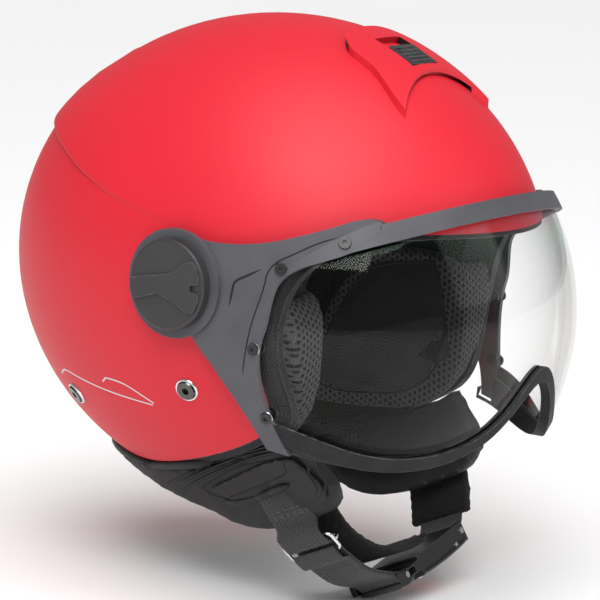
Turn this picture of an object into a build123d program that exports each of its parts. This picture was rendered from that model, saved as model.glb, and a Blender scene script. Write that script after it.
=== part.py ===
from build123d import *

import os
from math import atan2, cos, radians, sin, sqrt

# Open-face scooter helmet with a long lifting visor, in millimetres.
# +Z is up, the face looks along -Y and the wearer's right side is -X.
# The origin is the middle of the head cavity.

# ---------------------------------------------------------------- driving sizes
SHELL_CENTRE = (0, -2, 2.5)
SHELL_SEMI = (114.3, 141.3, 125)
SHELL_REAR = 146
REAR_SEMI = (SHELL_SEMI[0], SHELL_REAR, SHELL_SEMI[2])
SHELL_WALL = 4
FOAM_GAP = 0.3
FOAM_SEMI_IN = (88, 110, 92)
LINER_SEMI_OUT = (87.5, 109.5, 91.5)
LINER_SEMI_IN = (80, 102, 84)
HALF_SPACE = 200
# Where cuts across the crown or across an ear start, well inside the foam
INSIDE_Z = 60
INSIDE_X = 90
DEEP_CUT = 50
EDGE_TRIM_MOVE = (-2.5, -2.5)
TRIM_SUNK = 1.0
TRIM_LAP = 1.5
SKIRT_MOVE = (-2.8, -2.8)

PIVOT_Y = -20
PIVOT_Z = 5
BASE_R = 23
BASE_OUT_X = 115.4
HUB_R = 26.5
HUB_WALL = 2.5
HUB_FRONT = 14
HUB_RIM_X = 115.0
HUB_SKIN_X = 112.9
HUB_IN_X = 115.55
HUB_OUT_X = 118.2
WASHER_R = 20
WASHER_THICK = 0.8
WASHER_PLAY = 0.2
BOSS_PLAY = 1
BOSS_R = 9.95
BOSS_OUT_X = 118.5
HUB_HOLE_R = 10.0
SPIGOT_R = 6.0
SPIGOT_OUT_X = 121.6
CAP_BORE_R = 6.06
CAP_BORE_X = 122.0
CAP_R = 22
CAP_IN_X = 118.8
CAP_OUT_X = 124.0
CAP_BAR_X = 125.4
CAP_ROUND = 1.2
CAP_WALL = 2
CAP_HOLLOW = 3
CAP_BAR_INSET = 1.4
PIVOT_SCREW_R = 2.5
PIVOT_HEAD_R = 4.2
PIVOT_HEAD_IN_X = 119.2
PIVOT_HEAD_OUT_X = 121.4
PIVOT_HEX_R = 2
PIVOT_HEX_DEEP = 1.4
PIVOT_NUT_R = 7
PIVOT_NUT_IN_X = 104.5
PIVOT_NUT_OUT_X = 107.8
PIVOT_NUT_ROOM = 1
# The cap's grip on its face: +X backwards, +Y down.
GRIP = [(21, -1), (21, 9), (14, 7.5), (5, 4.5), (-4, 7), (-14, 12), (-20, 12), (-20, 2)]
GRIP = GRIP + [(-15, 1.2), (-15, -1.2), (-20, -3), (-20, -14), (-12, -12), (-3, -6), (6, -4), (14, -3)]

# The arms sweep on an ellipsoid about the pivot axis and the lens has one of its own.
PIVOT_CENTRE = (0, PIVOT_Y, PIVOT_Z)
SWEEP_SEMI_IN = (115.6, 124, 124)
SWEEP_SEMI_OUT = (118.3, 127, 127)
LENS_CENTRE = (0, -53.4, -18)
LENS_SEMI = (111, 104, 112.7)
LENS_WALL = 2.2
ARM_ON_LENS = 2.6
RAIL_ON_LENS = 3.4
TRIM_ON_LENS = 1.8
TRIM_IN_LENS = 1.3
TRIM_HIGH = 7.5
LENS_IN_TRIM = 2.0

# The rail's top line falls towards the ears.
RAIL_FRONT = (-150, 55.0)
RAIL_BACK = (-50, 17.0)
RAIL_HIGH = 10
RAIL_END_Y = -98
LENS_UNDER_RAIL = 2

SCREW_SPOTS = ((-99, 31), (-74, 17.5), (-64.5, -21.5), (-69, -55))
SCREW_R = 1.5
SCREW_HEAD_R = 2.8
SCREW_HEAD_HIGH = 1.3
SCREW_HEX_R = 1.3
SCREW_HEX_DEEP = 0.9
SCREW_HOLE_DEEP = 9
SCREW_HEAD_ROOM = 5
NUT_R = 3.2
NUT_HIGH = 1.1
NUT_SEAT = 1

STRAP_RIVET = (-19.6, -48.9)
SKIRT_RIVET = (66.5, -66.5)
RIVET_R = 2.5
RIVET_LONG = 4.2
RIVET_HEAD_R = 5.7
RIVET_HEAD_HIGH = 1.8
RIVET_HOLE_R = 1.8
RIVET_TAIL = 6.3
RIVET_TAIL_R = 4.5
RIVET_TAIL_HIGH = 0.9
RIVET_DOME = 30

STRAP_WIDE = 26
STRAP_THICK = 1.8
STRAP_LEAN = 24
STRAP_ORIGIN = (0, -52, -100)

FOAM_MOVE = (3.5, 3.5)
BAND_TOP = 41.5
BAND_LOW = 24
NAPE_FRONT = 20
NAPE_LOW = -55
CHEEK_IN_X = 63
CHEEK_GAP = 2
ANCHOR_R = 10
ANCHOR_THICK = 1.2
ANCHOR_DEEP = 9

# The neck skirt's plan is a horseshoe, given by height, half width and rear reach.
SKIRT_LEVELS = ((-58, 86, 113), (-96, 69.5, 91), (-128, 55, 65))
SKIRT_FRONT_Y = -110
SKIRT_CURVE_Y = 5
SKIRT_WALL = 11
PANEL_HIGH = 4.2

VENT_Y = -73
VENT_WIDE = 22
VENT_LONG = 17
VENT_TRAVEL = 8
VENT_CLEAR = 0.35
VENT_RIBS = 5
VENT_SLOT_LONG = 15
VENT_SLOT_WIDE = 6
VENT_SLOT_DEEP = 9
VENT_CHANNEL_DEEP = 24
VENT_HIGH = 2.7
VENT_ROUND = 1.5
VENT_RIB_PITCH = 3
VENT_RIB = (VENT_WIDE - 6, 1.4)
VENT_RIB_HIGH = 0.5
VENT_WINDOW_DEEP = 10
COWL_HIGH = 3.4
COWL_SKIN = 1.4
COWL_LIP_Y = -86
COWL_SIDE = [(-38.4, -96), (-36.8, -86), (-32, -71.5), (-29.5, -57), (-21, -48.5)]
COWL_REAR = (0, -46)
MOUTH_HALF_WIDE = 29
MOUTH_BACK_Y = -84

BUCKLE_TURN = 12
BAR_R = 1.6
LOOP_R = 3.4
TONGUE_HALF_WIDE = 8
TONGUE_HALF_THICK = 1.3
TONGUE_PITCH = 2.2
TONGUE_TEETH = 12
TOOTH_HIGH = 0.8
TONGUE_TRAVEL = 6.6
FRAME_HALF_WIDE = 17
FRAME_HALF_THICK = 2.7
FRAME_X = (-4, 13)
FRAME_END = 2.5
TOOTH_LONG = 1.2
CLEAR_Z = (-20, 20)
TONGUE_END_X = 46
BODY_X = (15, 64)
BODY_Z = (-4.2, 6.2)
BODY_HALF_WIDE = 15.5
CHANNEL_Z = (-1.6, 2.5)
CHANNEL_HALF_WIDE = 8.3
CHANNEL_END_X = 54
WELL_START_X = 33
LEVER_PIN = (51.5, 4.4)
LEVER_PIN_R = 1.3
LEVER_ROUND_R = 2.6
LEVER_HALF_WIDE = 6.5
TAB_LONG = 4.4
TAB_HIGH = 4
PAWL_Z = 2.45
SPRING_R = 1.85
SPRING_WIRE_R = 0.35
SPRING_TURNS = (6.95, 7.75)
BODY_BAR_X = 61
PLATE_THICK = 0.9
PLATE_AT = (24, 0)
PLATE_SIZE = (15, 25, 3)
PLATE_SLOT = (9, 4)
PLATE_RIVETS = ((19.5, -9), (19.5, 9), (28.5, -9), (28.5, 9))
PLATE_RIVET_R = 0.9
PLATE_HEAD_R = 1.7
PLATE_HEAD_HIGH = 0.8
PLATE_DOME = 25

# The strap's line in its own plane, right half: under the panel, through the slide, to the buckle.
WEB_LINE = [(-73.4, 6), (-67.4, -8), (-60.2, -21), (-54, -29), (-47.5, -37), (-32, -49.3), (-10.6, -56.9)]
LEFT_LINE = [(74, 6), (71, -8), (67.5, -20), (63.5, -30), (58.5, -38.6), (53.6, -43.6)]
SLIDE_AT = (-54, -29, 0)
SLIDE_WAY = (0.6, -0.8)
SLIDE_BAR = 1.8
SLIDE_BAR_X = 5.5
SLIDE_GAP = 1.5
SLIDE_HALF_WIDE = 15.8
SLIDE_ROOM_X = 10
SLIDE_ROOM_HIGH = 4
BAR_PLAY = 0.05
LEVER_INSET = 0.6
BUCKLE_START = (-8, -57.5, 0)
COVER_LINE = [(72.7, -1.5), (69.8, -13), (66.4, -23), (62.9, -31.2), (59.9, -36.4)]
COVER_THICK = 6
COVER_WIDE = 38
CHIN_PAD_LINE = [(-48, -4), (-45, -18), (-34, -32), (-8, -43.5), (24, -41)]
CHIN_PAD_THICK = 3.6
CHIN_PAD_WIDE = 30
CHEEK_BACK_Y = 32
CHEEK_TOP_Z = 6


# ---------------------------------------------------------------- shape helpers
def ellipsoid(centre, semi):
    """A solid ellipsoid: a unit ball with its poles at the ears, stretched three ways."""
    ball = Rotation(90, 90, 0) * Sphere(1, mode=Mode.PRIVATE)
    return Pos(*centre) * scale(ball, by=semi, mode=Mode.PRIVATE)


def grown(semi, by):
    """Semi-axes made longer by the same amount."""
    return tuple(axis + by for axis in semi)


def outline_box(low_y, high_y, low_z, high_z):
    """A rectangle's four edges for side_block."""
    corners = [(low_y, low_z), (high_y, low_z), (high_y, high_z), (low_y, high_z), (low_y, low_z)]
    return [list(edge) for edge in zip(corners, corners[1:])]


def side_block(points, move=(0, 0)):
    """A block across the helmet from a closed side outline of (y, z) points and curves.

    Each entry is either a list of points joined by one smooth curve, or a list of two
    points joined by a line.
    """
    with BuildPart() as block:
        with BuildSketch(Plane.YZ.offset(-HALF_SPACE)):
            with BuildLine():
                for run in points:
                    moved = [(y + move[0], z + move[1]) for y, z in run]
                    if len(moved) == 2:
                        Line(*moved)
                    else:
                        Spline(*moved)
            make_face()
        extrude(amount=2 * HALF_SPACE)
    return block.part


def right_of(x):
    """Everything further to the wearer's right than a given x."""
    size = 2 * HALF_SPACE
    return Pos(x - HALF_SPACE, 0, 0) * Box(size, size, size, mode=Mode.PRIVATE)


def mirrored_plane(plane):
    """The same plane on the wearer's left."""
    return Plane(
        origin=(-plane.origin.X, plane.origin.Y, plane.origin.Z),
        x_dir=(-plane.x_dir.X, plane.x_dir.Y, plane.x_dir.Z),
        z_dir=(-plane.z_dir.X, plane.z_dir.Y, plane.z_dir.Z),
    )


def both_sides(planes):
    """The given right-side planes and their mirror images."""
    return planes + [mirrored_plane(plane) for plane in planes]


def mirrored_part(piece):
    """The wearer's left-hand copy of a right-hand piece."""
    return mirror(piece.part, about=Plane.YZ, mode=Mode.PRIVATE)


def shell_form(by):
    """The shell's outer form, grown by an amount: two half ellipsoids, the back one longer."""
    aligned = (Align.CENTER, Align.MIN, Align.CENTER)
    half_ball = Rotation(0, 90, 0) * Sphere(1, arc_size3=180, align=aligned, mode=Mode.PRIVATE)
    back = scale(half_ball, by=grown(REAR_SEMI, by), mode=Mode.PRIVATE)
    front = scale(half_ball, by=grown(SHELL_SEMI, by), mode=Mode.PRIVATE)
    return Pos(*SHELL_CENTRE) * (back + Rotation(0, 0, 180) * front)


def x_on(centre, semi, y, z):
    """How far out an ellipsoid's side lies at a given y and z."""
    left = 1 - ((y - centre[1]) / semi[1]) ** 2 - ((z - centre[2]) / semi[2]) ** 2
    return semi[0] * sqrt(left)


def right_plane(centre, semi, y, z):
    """A plane touching the right side of an ellipsoid, its normal pointing out."""
    x = -x_on(centre, semi, y, z)
    normal = (x / semi[0] ** 2, (y - centre[1]) / semi[1] ** 2, (z - centre[2]) / semi[2] ** 2)
    return Plane(origin=(x, y, z), z_dir=normal)


def outermost_plane(shapes, y, z):
    """The touching plane on whichever (centre, semi-axes) ellipsoid stands out most there."""
    centre, semi = max(shapes, key=lambda shape: x_on(*shape, y, z))
    return right_plane(centre, semi, y, z)


def depth_to(plane, centre, semi):
    """Distance from a plane's origin, inwards along its normal, to an ellipsoid."""
    start = [plane.origin.X - centre[0], plane.origin.Y - centre[1], plane.origin.Z - centre[2]]
    way = [-plane.z_dir.X, -plane.z_dir.Y, -plane.z_dir.Z]
    a = sum((w / s) ** 2 for w, s in zip(way, semi))
    b = sum(w * p / s**2 for w, p, s in zip(way, start, semi))
    c = sum((p / s) ** 2 for p, s in zip(start, semi)) - 1
    return (-b - sqrt(b * b - a * c)) / a


# ---------------------------------------------------------------- outlines, side view (y, z)
FACE_EDGE = [
    (-60, -64),
    (-66, -54),
    (-65.5, -36),
    (-66, -12),
    (-76, 16),
    (-98, 31),
    (-125, 34),
    (-165, 35),
]
SHELL_BOTTOM = [(160, -90), (80, -95), (34, -97.5), (-8, -88.5), (-40, -76), (-60, -64)]
SHELL_SIDE = [
    SHELL_BOTTOM,
    FACE_EDGE,
    [(-165, 35), (-165, 160)],
    [(-165, 160), (160, 160)],
    [(160, 160), (160, -90)],
]
FOAM_SIDE = [
    [(-200, -50), (34, -50)],
    [(34, -50), (62, -78)],
    [(62, -78), (200, -78)],
    [(200, -78), (200, 200)],
    [(200, 200), (-200, 200)],
    [(-200, 200), (-200, -50)],
]
ARM_SIDE = [
    [(-30, 27.6), (-46, 26.8), (-60, 28.0), (-78, 32.5), (-98, 40.2)],
    [(-98, 40.2), (-105, 42.0), (-110, 40.5), (-112, 36.5), (-109, 33.2)],
    [(-109, 33.2), (-94, 22.9), (-80, 16.6), (-73.5, 10.5), (-71, 2.0), (-68.5, -14)],
    [(-68.5, -14), (-66.3, -30), (-68.3, -46), (-72.5, -62), (-76, -74)],
    [(-76, -74), (-65.5, -72)],
    [(-65.5, -72), (-60.5, -60.5), (-50.5, -45), (-40, -33), (-30, -19)],
    [(-30, -19), (-30, 27.6)],
]
LENS_SIDE = [
    [(-57.5, -42), (-66.5, -78)],
    [(-66.5, -78), (-66.5, -200)],
    [(-66.5, -200), (-200, -200)],
    [(-200, -200), (-200, 100)],
    [(-200, 100), (-70, 100)],
    [(-70, 100), (-70, 22)],
    [(-70, 22), (-57.5, 0)],
    [(-57.5, 0), (-57.5, -42)],
]
# The visor's lower edge, front view (x, z), from the notch out to the right lobe.
VISOR_LOW = [(0, -39), (14, -49), (29, -66.5), (46, -76.5), (62, -80), (78, -79), (94, -72), (112, -58)]

CHEEK_SIDE = [
    [(-71, -52), (-74, -30), (-73, -12), (-66, 2)],
    [(-66, 2), (-40, 5), (-12, 2)],
    [(-12, 2), (8, -20), (24, -50), (30, -84)],
    [(30, -84), (-8, -84), (-44, -79)],
    [(-44, -79), (-62, -68), (-71, -52)],
]
SKIRT_HEM = [(-79, -106), (-60, -116), (-40, -123), (-24, -125), (-8, -121), (20, -114), (52, -105)]
SKIRT_HEM = SKIRT_HEM + [(130, -99)]
SKIRT_SIDE = [
    [(-62, -66), (-77, -81), (-85, -95), (-79, -106)],
    SKIRT_HEM,
    [(130, -99), (130, -60)],
    [(130, -60), (-62, -60)],
    [(-62, -60), (-62, -66)],
]
PANEL_SIDE = [
    [(-9, -105), (-34, -91.5), (-59, -80.5), (-66, -79)],
    [(-66, -79), (-75, -85), (-82.5, -95), (-77, -102.5)],
    [(-77, -102.5), (-60, -98)],
    [(-60, -98), (-23, -110)],
    [(-23, -110), (-9, -105)],
]


# ---------------------------------------------------------------- shell and what lines it
shell_region = side_block(SHELL_SIDE)
shell_outside = shell_form(0)
shell_inside = shell_form(-SHELL_WALL)
anchor_planes = both_sides([right_plane(SHELL_CENTRE, SHELL_SEMI, *STRAP_RIVET)])
skirt_rivet_planes = both_sides([right_plane(SHELL_CENTRE, REAR_SEMI, *SKIRT_RIVET)])
rivet_planes = anchor_planes + skirt_rivet_planes
pivot_plane = Plane(origin=(0, PIVOT_Y, PIVOT_Z), x_dir=(0, 1, 0), z_dir=(-1, 0, 0))
pivot_planes = both_sides([pivot_plane])

# The intake's slider runs on a plane touching the crown.
vent_rise = (VENT_Y - SHELL_CENTRE[1]) / SHELL_SEMI[1]
vent_z = SHELL_CENTRE[2] + SHELL_SEMI[2] * sqrt(1 - vent_rise**2)
vent_normal = (0, vent_rise / SHELL_SEMI[1], (vent_z - SHELL_CENTRE[2]) / SHELL_SEMI[2] ** 2)
vent_plane = Plane(origin=(0, VENT_Y, vent_z), x_dir=(1, 0, 0), z_dir=vent_normal)

with BuildPart() as outer_shell:
    add(shell_outside)
    add(shell_inside, mode=Mode.SUBTRACT)
    add(shell_region, mode=Mode.INTERSECT)
    # Holes for the visor's pivot screws
    with BuildSketch(pivot_plane):
        Circle(PIVOT_SCREW_R)
    extrude(amount=HALF_SPACE, both=True, mode=Mode.SUBTRACT)
    # Holes for the strap and skirt rivets
    for plane in rivet_planes:
        with BuildSketch(plane):
            Circle(RIVET_R)
        extrude(amount=2 * RIVET_LONG, both=True, mode=Mode.SUBTRACT)
    # Air slot under the vent slider
    with BuildSketch(vent_plane):
        SlotOverall(VENT_SLOT_LONG, VENT_SLOT_WIDE)
    extrude(amount=VENT_SLOT_DEEP, both=True, mode=Mode.SUBTRACT)

with BuildPart() as edge_trim:
    # A rubber strip that follows the shell's cut edge all the way round.
    add(shell_form(-TRIM_SUNK))
    add(shell_form(-SHELL_WALL - TRIM_LAP), mode=Mode.SUBTRACT)
    add(side_block(SHELL_SIDE, move=EDGE_TRIM_MOVE), mode=Mode.INTERSECT)
    add(shell_region, mode=Mode.SUBTRACT)

with BuildPart() as anchor_plates:
    # Steel plates inside the shell that spread the strap rivets' load.
    for plane in anchor_planes:
        with BuildSketch(plane):
            Circle(ANCHOR_R)
            Circle(RIVET_R, mode=Mode.SUBTRACT)
        extrude(amount=-ANCHOR_DEEP)
    add(shell_inside, mode=Mode.INTERSECT)
    add(shell_form(-SHELL_WALL - ANCHOR_THICK), mode=Mode.SUBTRACT)

with BuildPart() as foam_liner:
    add(shell_form(-SHELL_WALL - FOAM_GAP))
    add(side_block(SHELL_SIDE, move=FOAM_MOVE), mode=Mode.INTERSECT)
    add(side_block(FOAM_SIDE), mode=Mode.INTERSECT)
    add(ellipsoid(SHELL_CENTRE, FOAM_SEMI_IN), mode=Mode.SUBTRACT)
    # Recesses for the anchor plates and rivet ends
    for plane in rivet_planes:
        with BuildSketch(plane):
            Circle(ANCHOR_R + FOAM_GAP)
        extrude(amount=-ANCHOR_DEEP, mode=Mode.SUBTRACT)
    # Recesses for the pivot screws' nuts
    for plane in pivot_planes:
        with BuildSketch(plane.offset(PIVOT_NUT_IN_X - PIVOT_NUT_ROOM)):
            Circle(PIVOT_NUT_R + PIVOT_NUT_ROOM)
        extrude(amount=DEEP_CUT, mode=Mode.SUBTRACT)
    # Air channel from the intake to the crown
    with BuildSketch(vent_plane):
        SlotOverall(VENT_SLOT_LONG, VENT_SLOT_WIDE)
    extrude(amount=-VENT_CHANNEL_DEEP, mode=Mode.SUBTRACT)

liner_outside = ellipsoid(SHELL_CENTRE, LINER_SEMI_OUT)
liner_inside = ellipsoid(SHELL_CENTRE, LINER_SEMI_IN)

with BuildPart() as crown_liner:
    add(liner_outside)
    add(liner_inside, mode=Mode.SUBTRACT)
    add(side_block(outline_box(-200, 200, BAND_TOP + 0.5, 200)), mode=Mode.INTERSECT)

with BuildPart() as brow_band:
    add(liner_outside)
    add(liner_inside, mode=Mode.SUBTRACT)
    add(side_block(outline_box(-200, NAPE_FRONT - 0.5, BAND_LOW, BAND_TOP)), mode=Mode.INTERSECT)

with BuildPart() as nape_pad:
    add(liner_outside)
    add(liner_inside, mode=Mode.SUBTRACT)
    add(side_block(outline_box(NAPE_FRONT, 200, NAPE_LOW, BAND_TOP)), mode=Mode.INTERSECT)
    add(side_block(outline_box(NAPE_FRONT, CHEEK_BACK_Y, NAPE_LOW, CHEEK_TOP_Z)), mode=Mode.SUBTRACT)

with BuildPart() as cheek_pad_right:
    # Inside the foam where there is foam, and out to the shell below and ahead of it.
    add(shell_form(-SHELL_WALL - CHEEK_GAP))
    add(side_block(CHEEK_SIDE), mode=Mode.INTERSECT)
    add(right_of(-CHEEK_IN_X), mode=Mode.INTERSECT)
    add(foam_liner.part, mode=Mode.SUBTRACT)
    for plane in rivet_planes:
        with BuildSketch(plane):
            Circle(ANCHOR_R + FOAM_GAP)
        extrude(amount=-ANCHOR_DEEP, mode=Mode.SUBTRACT)
    with BuildSketch(pivot_plane.offset(FOAM_SEMI_IN[0] - PIVOT_NUT_ROOM)):
        Circle(PIVOT_NUT_R + 2 * PIVOT_NUT_ROOM)
    extrude(amount=DEEP_CUT, mode=Mode.SUBTRACT)

# ---------------------------------------------------------------- strap lines
# The strap's line lies in one leaning plane: +X to the left, +Y up that plane.
lean = radians(STRAP_LEAN)
strap_plane = Plane(origin=STRAP_ORIGIN, x_dir=(1, 0, 0), z_dir=(0, -cos(lean), sin(lean)))
turn = radians(BUCKLE_TURN)
buckle_origin = strap_plane.from_local_coords(BUCKLE_START)
buckle_plane = Plane(
    origin=buckle_origin,
    x_dir=(cos(turn), sin(turn) * sin(lean), sin(turn) * cos(lean)),
    z_dir=(sin(turn), -cos(turn) * sin(lean), -cos(turn) * cos(lean)),
)
slide_spot = strap_plane.from_local_coords(SLIDE_AT)
slide_plane = Plane(
    origin=slide_spot,
    x_dir=(SLIDE_WAY[0], SLIDE_WAY[1] * sin(lean), SLIDE_WAY[1] * cos(lean)),
    z_dir=(SLIDE_WAY[1], -SLIDE_WAY[0] * sin(lean), -SLIDE_WAY[0] * cos(lean)),
)


def ribbon(line, thick, wide):
    """A strip of even thickness along a smooth line in the strap's plane."""
    edges = ([], [])
    for i, (x, y) in enumerate(line):
        before = line[max(i - 1, 0)]
        after = line[min(i + 1, len(line) - 1)]
        angle = atan2(after[1] - before[1], after[0] - before[0])
        for edge, side in zip(edges, (-0.5, 0.5)):
            edge.append((x - side * thick * sin(angle), y + side * thick * cos(angle)))
    with BuildPart() as strip:
        with BuildSketch(strap_plane):
            with BuildLine():
                Spline(*edges[0])
                Line(edges[0][-1], edges[1][-1])
                Spline(*edges[1])
                Line(edges[1][0], edges[0][0])
            make_face()
        extrude(amount=wide / 2, both=True)
    return strip.part


def bar_along(plane, x, z, radius, half_long):
    """A round bar across the strap, in the buckle's plane."""
    with BuildPart() as bar:
        with BuildSketch(Plane(origin=plane.from_local_coords((x, 0, z)), z_dir=plane.y_dir)):
            Circle(radius)
        extrude(amount=half_long, both=True)
    return bar.part


def skirt_solid(grow):
    """The filled horseshoe that the skirt's outer face follows, larger by grow."""
    with BuildPart() as solid:
        for level, half_wide, rear in SKIRT_LEVELS:
            wide = half_wide + grow
            deep = rear + grow - SKIRT_CURVE_Y
            with BuildSketch(Plane.XY.offset(level)):
                with BuildLine():
                    Line((wide, SKIRT_FRONT_Y), (wide, SKIRT_CURVE_Y))
                    EllipticalCenterArc((0, SKIRT_CURVE_Y), wide, deep, 0, arc_size=180)
                    Line((-wide, SKIRT_CURVE_Y), (-wide, SKIRT_FRONT_Y))
                    Line((-wide, SKIRT_FRONT_Y), (wide, SKIRT_FRONT_Y))
                make_face()
        loft()
    return solid.part


webbing_right = ribbon(WEB_LINE, STRAP_THICK, STRAP_WIDE)
webbing_left = ribbon(LEFT_LINE, STRAP_THICK, STRAP_WIDE)
skirt_outer = skirt_solid(0)

with BuildPart() as strap_cover:
    # A padded sleeve round the left webbing.
    add(ribbon(COVER_LINE, COVER_THICK, COVER_WIDE))
    add(ribbon(LEFT_LINE, STRAP_THICK + 0.4, STRAP_WIDE + 1), mode=Mode.SUBTRACT)

with BuildPart() as chin_pad:
    add(ribbon(CHIN_PAD_LINE, CHIN_PAD_THICK, CHIN_PAD_WIDE))

with BuildPart() as slide_room:
    # The space that the slide needs for its travel along the webbing
    with BuildSketch(slide_plane.offset(-SLIDE_ROOM_HIGH)):
        Rectangle(2 * SLIDE_ROOM_X, 2 * SLIDE_HALF_WIDE + 1)
    extrude(amount=2 * SLIDE_ROOM_HIGH)

with BuildPart() as neck_skirt:
    add(skirt_outer)
    add(skirt_solid(-SKIRT_WALL), mode=Mode.SUBTRACT)
    add(side_block(SKIRT_SIDE), mode=Mode.INTERSECT)
    add(side_block(SHELL_SIDE, move=SKIRT_MOVE), mode=Mode.SUBTRACT)
    add(strap_cover.part, mode=Mode.SUBTRACT)
    add(webbing_right, mode=Mode.SUBTRACT)
    add(webbing_left, mode=Mode.SUBTRACT)
    add(cheek_pad_right.part, mode=Mode.SUBTRACT)
    add(mirrored_part(cheek_pad_right), mode=Mode.SUBTRACT)
    add(chin_pad.part, mode=Mode.SUBTRACT)
    add(slide_room.part, mode=Mode.SUBTRACT)

with BuildPart() as skirt_panel_right:
    # The raised flap that the webbing comes out of.
    add(skirt_solid(PANEL_HIGH))
    add(skirt_outer, mode=Mode.SUBTRACT)
    add(side_block(PANEL_SIDE), mode=Mode.INTERSECT)
    add(side_block(SHELL_SIDE, move=SKIRT_MOVE), mode=Mode.SUBTRACT)
    add(right_of(0), mode=Mode.INTERSECT)
    add(webbing_right, mode=Mode.SUBTRACT)
    add(slide_room.part, mode=Mode.SUBTRACT)

with BuildPart() as skirt_panel_left:
    mirror(skirt_panel_right.part, about=Plane.YZ)
    add(strap_cover.part, mode=Mode.SUBTRACT)
    add(webbing_left, mode=Mode.SUBTRACT)


# ---------------------------------------------------------------- strap, slide and buckle
def bar_loop(plane, x):
    """The sewn loop of webbing round a bar."""
    with BuildPart() as loop:
        add(bar_along(plane, x, 0, LOOP_R, STRAP_WIDE / 2))
        add(bar_along(plane, x, 0, BAR_R, STRAP_WIDE), mode=Mode.SUBTRACT)
    return loop.part


def buckle_block(x_span, half_wide, z_span):
    """A block in the buckle's plane."""
    with BuildPart() as block:
        with BuildSketch(buckle_plane.offset(z_span[0])):
            with Locations(((x_span[0] + x_span[1]) / 2, 0)):
                Rectangle(x_span[1] - x_span[0], 2 * half_wide)
        extrude(amount=z_span[1] - z_span[0])
    return block.part


with BuildPart() as strap_right:
    add(webbing_right)
    add(bar_along(buckle_plane, 0, 0, BAR_R, STRAP_WIDE), mode=Mode.SUBTRACT)
    add(bar_loop(buckle_plane, 0))

with BuildPart() as strap_left:
    add(webbing_left)
    add(bar_along(buckle_plane, BODY_BAR_X, 0, BAR_R, STRAP_WIDE), mode=Mode.SUBTRACT)
    add(bar_loop(buckle_plane, BODY_BAR_X))

with BuildPart() as strap_slide:
    # The webbing runs between two outer bars and one inner bar.
    for x, low in ((-SLIDE_BAR_X, SLIDE_GAP), (SLIDE_BAR_X, SLIDE_GAP), (0, -SLIDE_GAP - SLIDE_BAR)):
        with BuildSketch(slide_plane.offset(low)):
            with Locations((x, 0)):
                Rectangle(SLIDE_BAR, 2 * SLIDE_HALF_WIDE)
        extrude(amount=SLIDE_BAR)
    with BuildSketch(slide_plane.offset(-SLIDE_GAP - SLIDE_BAR)):
        with Locations((0, -SLIDE_HALF_WIDE + SLIDE_BAR / 2), (0, SLIDE_HALF_WIDE - SLIDE_BAR / 2)):
            Rectangle(2 * SLIDE_BAR_X + SLIDE_BAR, SLIDE_BAR)
    extrude(amount=2 * (SLIDE_GAP + SLIDE_BAR))

with BuildPart() as tongue_bar:
    add(bar_along(buckle_plane, 0, 0, BAR_R, FRAME_HALF_WIDE))

with BuildPart() as buckle_tongue:
    add(buckle_block(FRAME_X, FRAME_HALF_WIDE, (-FRAME_HALF_THICK, FRAME_HALF_THICK)))
    add(buckle_block((FRAME_X[0], FRAME_X[1] - FRAME_END), STRAP_WIDE / 2 + 0.5, CLEAR_Z), mode=Mode.SUBTRACT)
    tongue_z = (-TONGUE_HALF_THICK, TONGUE_HALF_THICK)
    add(buckle_block((FRAME_X[1] - 1, TONGUE_END_X), TONGUE_HALF_WIDE, tongue_z))
    # Ratchet teeth
    tooth_z = (TONGUE_HALF_THICK, TONGUE_HALF_THICK + TOOTH_HIGH)
    for i in range(TONGUE_TEETH):
        x = TONGUE_END_X - TOOTH_LONG - i * TONGUE_PITCH
        add(buckle_block((x, x + TOOTH_LONG), TONGUE_HALF_WIDE - 1, tooth_z))
    # The bar floats in a slot in each side of the frame.
    slot_r = BAR_R + BAR_PLAY
    add(bar_along(buckle_plane, 0, 0, slot_r, 2 * FRAME_HALF_WIDE), mode=Mode.SUBTRACT)
    add(bar_along(buckle_plane, TONGUE_TRAVEL, 0, slot_r, 2 * FRAME_HALF_WIDE), mode=Mode.SUBTRACT)
    add(buckle_block((0, TONGUE_TRAVEL), 2 * FRAME_HALF_WIDE, (-slot_r, slot_r)), mode=Mode.SUBTRACT)

with BuildPart() as buckle_body:
    add(buckle_block(BODY_X, BODY_HALF_WIDE, BODY_Z))
    add(buckle_block((0, CHANNEL_END_X), CHANNEL_HALF_WIDE, CHANNEL_Z), mode=Mode.SUBTRACT)
    well_z = (CHANNEL_Z[0], CLEAR_Z[1])
    add(buckle_block((WELL_START_X, CHANNEL_END_X + 2), CHANNEL_HALF_WIDE, well_z), mode=Mode.SUBTRACT)
    loop_room = (BODY_BAR_X - LOOP_R - 0.4, BODY_X[1] + 10)
    add(buckle_block(loop_room, STRAP_WIDE / 2 + 0.3, CLEAR_Z), mode=Mode.SUBTRACT)
    add(bar_along(buckle_plane, BODY_BAR_X, 0, BAR_R, STRAP_WIDE), mode=Mode.SUBTRACT)
    add(bar_along(buckle_plane, *LEVER_PIN, LEVER_PIN_R, STRAP_WIDE), mode=Mode.SUBTRACT)

with BuildPart() as body_bar:
    add(bar_along(buckle_plane, BODY_BAR_X, 0, BAR_R, BODY_HALF_WIDE + 0.6))

with BuildPart() as lever_pin:
    add(bar_along(buckle_plane, *LEVER_PIN, LEVER_PIN_R, BODY_HALF_WIDE + 0.6))

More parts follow.
